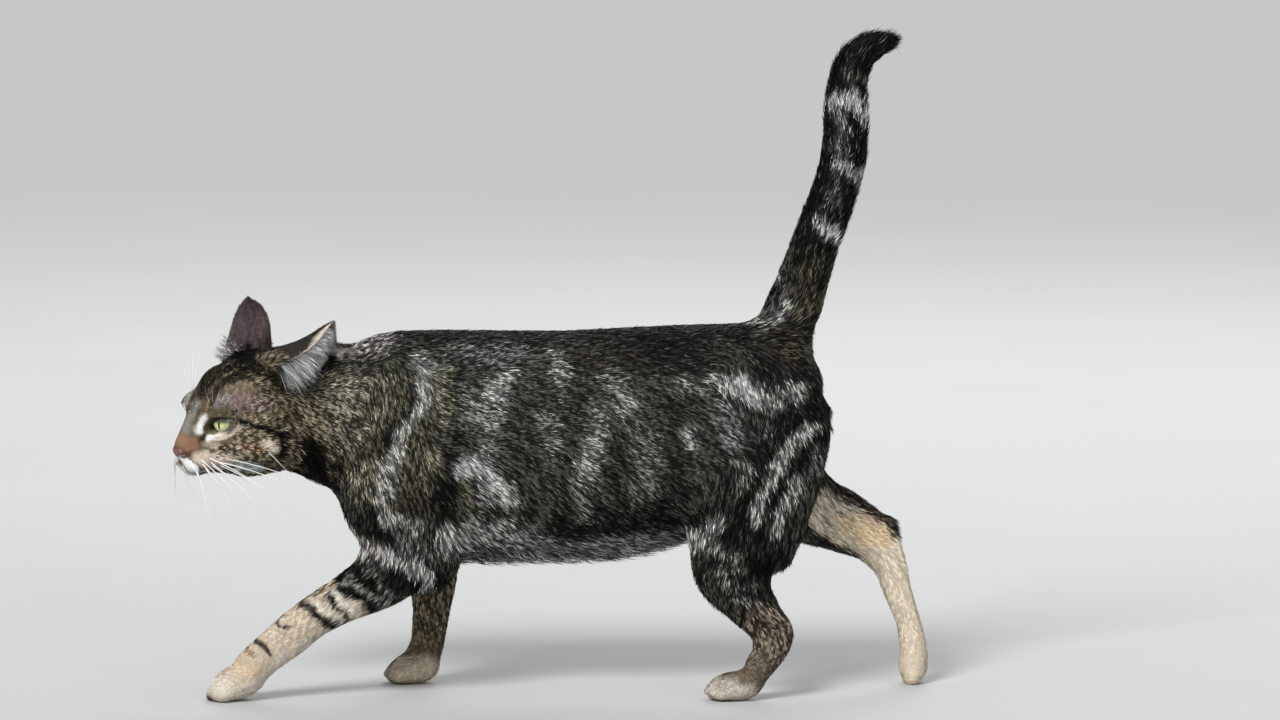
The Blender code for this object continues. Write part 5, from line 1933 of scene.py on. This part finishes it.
@dataclass
class Coat:
    """One piece of the coat: many tufts over a few solids' skin."""

    name: str
    solids: tuple[str, ...]
    count: int
    slot: str
    unwrap: Unwrap
    start: Row = (0.0, 0.0, 0.0)
    end: Row = (1.0, 0.0, 0.0)
    seed: int = 1
    sink: float = 0.35
    roll: float = 30.0
    stray: float = 0.16
    patch: float = 0.003
    ear_hair: float = 2.6
    ear_lift: float = 10.0
    lengths: Row = (0.72, 1.18)
    lifts: Row = (0.45, 1.55)
    ticking: Ticking = field(default_factory=Ticking)

    def build(self, ground: Ground, lay: HairLay, markings: Markings, material: Material) -> Piece:
        """Grow, paint and join this piece's tufts."""
        draw = np.random.default_rng(self.seed)
        count = self.count
        roots, outward, labels = ground.scatter(self.solids, count, lay, draw)
        growth = self.growth(roots, outward, labels, lay, markings, draw)
        if self.unwrap is Unwrap.EARS:
            growth = self.with_fringe(growth, ground, draw)
        mesh = self.tufts(growth, draw)
        return new_piece(self.name, mesh, material, self.slot)

    def growth(
        self, roots: Array, outward: Array, labels: Array, lay: HairLay, markings: Markings, draw: Draw
    ) -> Growth:
        """Lay and colour tufts at their roots."""
        lie = lay.at(roots)
        way, length, lift = lie.way, lie.length.copy(), lie.lift.copy()
        for name, ear in EARS.items():
            mine = on_ear(name, roots, labels)
            way[mine] = ear.axes()[0]
            length[mine] = self.ear_hair
            lift[mine] = self.ear_lift
        swirl = 0.16 * ripple(roots, 22, 5) + 0.07 * ripple(roots, 7, 6)
        swirl += draw.normal(0, self.stray, len(roots))
        tangent = unit(way - outward * np.einsum("ij,ij->i", way, outward)[:, None])
        aside = np.cross(outward, tangent)
        tangent = unit(tangent * np.cos(swirl)[:, None] + aside * np.sin(swirl)[:, None])
        length *= draw.uniform(*self.lengths, len(roots))
        lift = np.radians(lift) * draw.uniform(*self.lifts, len(roots))
        shown = roots + tangent * (0.6 * length)[:, None]
        shown += outward * (COAT_SHARE * lie.depth)[:, None]
        shown += draw.normal(0, 1, shown.shape) * (0.13 * length)[:, None]
        chance = draw.uniform(0, 1, len(roots))
        tones = markings.at(shown, outward, chance)
        ends = markings.at(shown + tangent * (0.34 * length)[:, None], outward, chance)
        for name, ear in EARS.items():
            mine = np.flatnonzero(on_ear(name, roots, labels))
            if len(mine):
                tones[mine] = ear_colours(ear, roots[mine], outward[mine])
                ends[mine] = tones[mine]
        spots = self.spots(roots, labels)
        return Growth(roots, outward, tangent, length, tuft_width(length), lift, tones, ends, spots)

    def with_fringe(self, growth: Growth, ground: Ground, draw: Draw) -> Growth:
        """Add the long silver hair that crosses each ear's opening."""
        rows = [growth]
        for name, ear in EARS.items():
            label = FLESH.index(name)
            faces = ground.triangles[ground.labels == label]
            places = ground.points[faces].mean(axis=1)
            facing = unit(ground.normals[faces].mean(axis=1))
            local = ear.local(places)
            inner = facing @ ear.axes()[2] > 0.1
            height = local[:, 0] / ear.length
            along, across, opening = ear.axes()
            for tress in FRINGES[name]:
                options = np.flatnonzero(inner & tress.holds(local[:, 1], height))
                count = tress.count
                picked = draw.choice(options, count)
                rise = (0.05 if tress.out < 0.5 else -0.3) + 0.4 * draw.uniform(0, 1, (count, 1))
                way = unit(along * rise + across * tress.lean + opening * tress.out)
                way = unit(way + draw.normal(0, 0.10, (count, 3)))
                lengths = tress.length * draw.uniform(0.6, 1.15, count) * (1 - 0.8 * height[picked])
                roots = places[picked] + draw.normal(0, 0.5, (count, 3))
                tone = linear(tress.tone) * draw.uniform(0.7, 1.15, (count, 1))
                lift = np.radians(draw.uniform(4, 26, count))
                spots = self.spots(roots, np.full(count, label))
                width = np.full(count, tress.width)
                rows.append(
                    Growth(roots, facing[picked], way, lengths, width, lift, tone, tone, spots)
                )
        keys = [item.name for item in fields(Growth)]
        return Growth(*(np.concatenate([getattr(row, key) for row in rows]) for key in keys))

    def spots(self, roots: Array, labels: Array) -> Array:
        """Each root's place on the unwrap of the skin, from 0 to 1."""
        if self.unwrap is Unwrap.EARS:
            out = np.zeros((len(roots), 2))
            for index, (name, ear) in enumerate(EARS.items()):
                mine = labels == FLESH.index(name)
                local = ear.local(roots[mine])
                turn = np.arctan2(local[:, 2] + 8, local[:, 1]) / (2 * math.pi) + 0.5
                height = np.clip(local[:, 0] / ear.length, -0.3, 1.1) / 1.4 + 0.22
                out[mine] = np.column_stack((turn / 2 + index / 2, height))
            return out * 0.96 + 0.02
        if self.unwrap is Unwrap.HEAD:
            local = HEAD.back(roots) - (-30, 0, 0)
            east = np.arctan2(local[:, 1], local[:, 0]) / (2 * math.pi) + 0.5
            north = np.arctan2(local[:, 2], np.hypot(local[:, 0], local[:, 1])) / math.pi + 0.5
            return np.column_stack((east, north)) * 0.96 + 0.02
        start = np.asarray(self.start) + SETTLE
        along = np.asarray(self.end) - np.asarray(self.start)
        sided = roots.copy()
        if self.unwrap is Unwrap.LIMBS:
            sided[:, 1] -= 45 * np.sign(roots[:, 1])
        share = (sided - start) @ along / (along @ along)
        aside = np.cross(unit(along.astype(float)), (0, 1, 0))
        turn = np.arctan2((sided - start) @ aside, sided[:, 1]) / (2 * math.pi) + 0.5
        if self.unwrap is Unwrap.LIMBS:
            turn = turn / 2 + np.where(roots[:, 1] > 0, 0.5, 0.0)
        return np.clip(np.column_stack((share, turn)), 0, 1) * 0.96 + 0.02

    def tufts(self, growth: Growth, draw: Draw) -> Mesh:
        """Join the tufts: each a narrow blade with a pointed tip, curving down to the coat."""
        count = len(growth.roots)
        outward, way = growth.outward, growth.way
        aside = np.cross(outward, way)
        roll = np.radians(draw.normal(0, self.roll, count))[:, None]
        aside = unit(aside * np.cos(roll) + outward * np.sin(roll))
        near, far = growth.length[:, None] * 0.6, growth.length[:, None] * 0.4
        first = growth.lift[:, None]
        second = first * 0.25 - 0.04
        base = growth.roots - outward * self.sink
        middle = base + near * (way * np.cos(first) + outward * np.sin(first))
        tip = middle + far * (way * np.cos(second) + outward * np.sin(second))
        tip += aside * draw.normal(0, 0.06, (count, 1)) * growth.length[:, None]
        broad = growth.width[:, None] / 2
        for rows in (base, middle, tip):
            rows[:, 2] = np.maximum(rows[:, 2], LEAST_HEIGHT)
        points = np.stack(
            (
                base - aside * broad * 0.8, base + aside * broad * 0.8,
                middle + aside * broad, middle - aside * broad, tip,
            ),
            axis=1,
        )
        start = np.arange(count)[:, None] * 5
        order = np.array(TUFT_FACES)
        faces = start[:, :, None] + order[None]
        mesh = joined(self.name, points.reshape(-1, 3), faces.reshape(-1, 3))
        paint(mesh, self.ticking.shades(growth, draw).reshape(-1, 3))
        self.map(mesh, growth.spots)
        blade = np.cross(way, aside)
        blade *= np.sign(np.einsum("ij,ij->i", blade, outward))[:, None]
        shading = unit(outward * 0.62 + blade * 0.38 + way * 0.10)
        mesh.normals_split_custom_set_from_vertices(np.repeat(shading, 5, axis=0))
        return mesh

    def map(self, mesh: Mesh, spots: Array) -> None:
        """The bake's map: a small patch for each tuft at its root's place."""
        shape = np.array(((-0.5, -0.5), (0.5, -0.5), (0.42, 0.1), (-0.42, 0.1), (0.0, 0.5)))
        corners = spots[:, None, :] + shape * self.patch
        order = np.array(TUFT_FACES).ravel()
        layer = mesh.uv_layers.new(name=BAKE_MAP)
        layer.data.foreach_set("uv", corners[:, order].astype(np.float32).ravel())


COATS = (
    Coat("coat_head", ("head",), 64000, "coat", Unwrap.HEAD, seed=21, sink=0.25),
    Coat("coat_ears", ("ear_left", "ear_right"), 21000, "ear_coat", Unwrap.EARS, seed=22, sink=0.15),
    Coat("coat_neck", ("neck",), 36000, "coat", Unwrap.ROUND, (-215, 0, 215), (-140, 0, 215), 23),
    Coat("coat_chest", ("chest",), 60000, "coat", Unwrap.ROUND, (-170, 0, 195), (-45, 0, 195), 24),
    Coat("coat_belly", ("belly",), 62000, "coat", Unwrap.ROUND, (-55, 0, 195), (100, 0, 195), 25),
    Coat(
        "coat_hindquarters", ("hindquarters",), 62000, "coat",
        Unwrap.ROUND, (90, 0, 200), (215, 0, 200), 26,
    ),
    Coat(
        "coat_tail", ("tail_base", "tail_middle", "tail_tip"), 42000, "coat",
        Unwrap.ROUND, (190, 0, 285), (240, 0, 512), 27,
    ),
    Coat(
        "coat_forelegs", ("foreleg_left", "foreleg_right"), 34000, "coat",
        Unwrap.LIMBS, (-120, 0, 100), (-150, 0, 20), 28,
    ),
    Coat(
        "coat_hindlegs", ("hindleg_left", "hindleg_right"), 38000, "coat",
        Unwrap.LIMBS, (180, 0, 150), (230, 0, 20), 29,
    ),
    Coat(
        "coat_paws", ("forepaw_left", "forepaw_right", "hindpaw_left", "hindpaw_right"), 30000,
        "paw_coat", Unwrap.LIMBS, (-260, 0, 20), (290, 0, 20), 30, 0.2,
    ),
)


@dataclass
class Studio:
    """A plain pale floor, soft light and the camera."""

    distance: float = 6.0
    fall: float = 6.0
    lens_for_each_metre: float = 36.56
    aim: Row = (66.7, 0.0, 257.6)
    floor: float = 60.0
    floor_dim: Row = (0.47, 0.47, 0.46, 1.0)
    floor_lit: Row = (0.50, 0.50, 0.49, 1.0)
    lamps: tuple[tuple, ...] = (
        ("key", "SUN", (-0.5, -1.0, 0.85), math.radians(20), 3.1, 0.0),
        ("fill", "AREA", (2.4, -3.0, 1.2), 2.4, 25, 0.22),
        ("back", "AREA", (0.6, 2.6, 2.4), 1.6, 40, 0.22),
    )
    air: Row = (0.93, 0.96, 1.0, 1.0)
    air_strength: float = 0.6

    def build(self) -> None:
        """Set everything up round the cat."""
        self.lay_floor()
        for lamp in self.lamps:
            self.hang(*lamp)
        world = bpy.data.worlds.new("pale_room")
        world.use_nodes = True
        air = world.node_tree.nodes["Background"]
        air.inputs["Color"].default_value = self.air
        air.inputs["Strength"].default_value = self.air_strength
        bpy.context.scene.world = world
        bpy.context.scene.view_settings.view_transform = "Standard"
        self.set_camera()

    def lay_floor(self) -> None:
        """A wide pale floor with a faint grain."""
        clay = bmesh.new()
        bmesh.ops.create_grid(clay, x_segments=2, y_segments=2, size=self.floor / 2)
        mesh = mesh_of(clay, "floor")
        recipe = Recipe("pale_floor")
        grain = recipe.noise(3.0, 3.0)
        colour = recipe.mix(grain, self.floor_dim, self.floor_lit)
        recipe.surface(colour, grain * 0.1 + 0.75, Specular_IOR_Level=0.2)
        mesh.materials.append(recipe.material)
        in_scene("floor", mesh)

    @staticmethod
    def hang(name: str, kind: str, place: Row, size: float, power: float, aim: float) -> None:
        """A soft lamp turned to a height over the origin; a sun's size is its angle in radians."""
        lamp = bpy.data.lights.new(name, kind)
        setattr(lamp, "angle" if kind == "SUN" else "size", size)
        lamp.energy = power
        holder = in_scene(name, lamp)
        holder.location = place
        way = Vector((0.0, 0.0, aim)) - Vector(place)
        holder.rotation_euler = way.to_track_quat("-Z", "Y").to_euler()

    def set_camera(self) -> None:
        """A long lens from the cat's left side, a little above it."""
        camera = bpy.data.cameras.new("camera")
        camera.sensor_width = 36.0
        camera.lens = self.lens_for_each_metre * self.distance
        camera.clip_end = 100.0
        holder = in_scene("camera", camera)
        fall = math.radians(self.fall)
        way = Vector((0.0, math.cos(fall), -math.sin(fall)))
        holder.location = Vector(self.aim) * MM - way * self.distance
        holder.rotation_euler = way.to_track_quat("-Z", "Y").to_euler()
        bpy.context.scene.camera = holder


@dataclass
class Cat:
    """The whole animal."""

    lay: HairLay = field(default_factory=HairLay)
    markings: Markings = field(default_factory=Markings)

    def build(self, frame: dict[str, Any]) -> None:
        """Build every piece in order.
        """
        skin = Skin(self.lay)
        piece = skin.build(frame)
        LOG.info("skin: %d points", len(piece.data.vertices))
        lids = [Lids(name.replace("eye", "lids"), eye) for name, eye in EYE_PLACES.items()]
        for lid in lids:
            lid.build(skin)
            lid.dress(self.markings)
        for name, eye in EYE_PLACES.items():
            ball = Eyeball(name.replace("eye", "eyeball"), eye).build()
            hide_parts(name)
            LOG.info("%s: built", ball.name)
        skin.dress(self.markings)
        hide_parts(*FLESH)
        Nose().build()
        Bristles().build(skin)
        ground = Ground.gather(skin, lids)
        fur = FurFinish("tabby_fur").material()
        for coat in COATS:
            made = coat.build(ground, self.lay, self.markings, fur)
            LOG.info("%s: %d faces", made.name, len(made.data.polygons))


def main() -> None:
    """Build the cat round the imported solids, and the studio round the cat."""
    logging.basicConfig(level=logging.INFO, format="%(message)s")
    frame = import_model()
    Cat().build(frame)
    Studio().build()


if __name__ == "__main__":
    main()
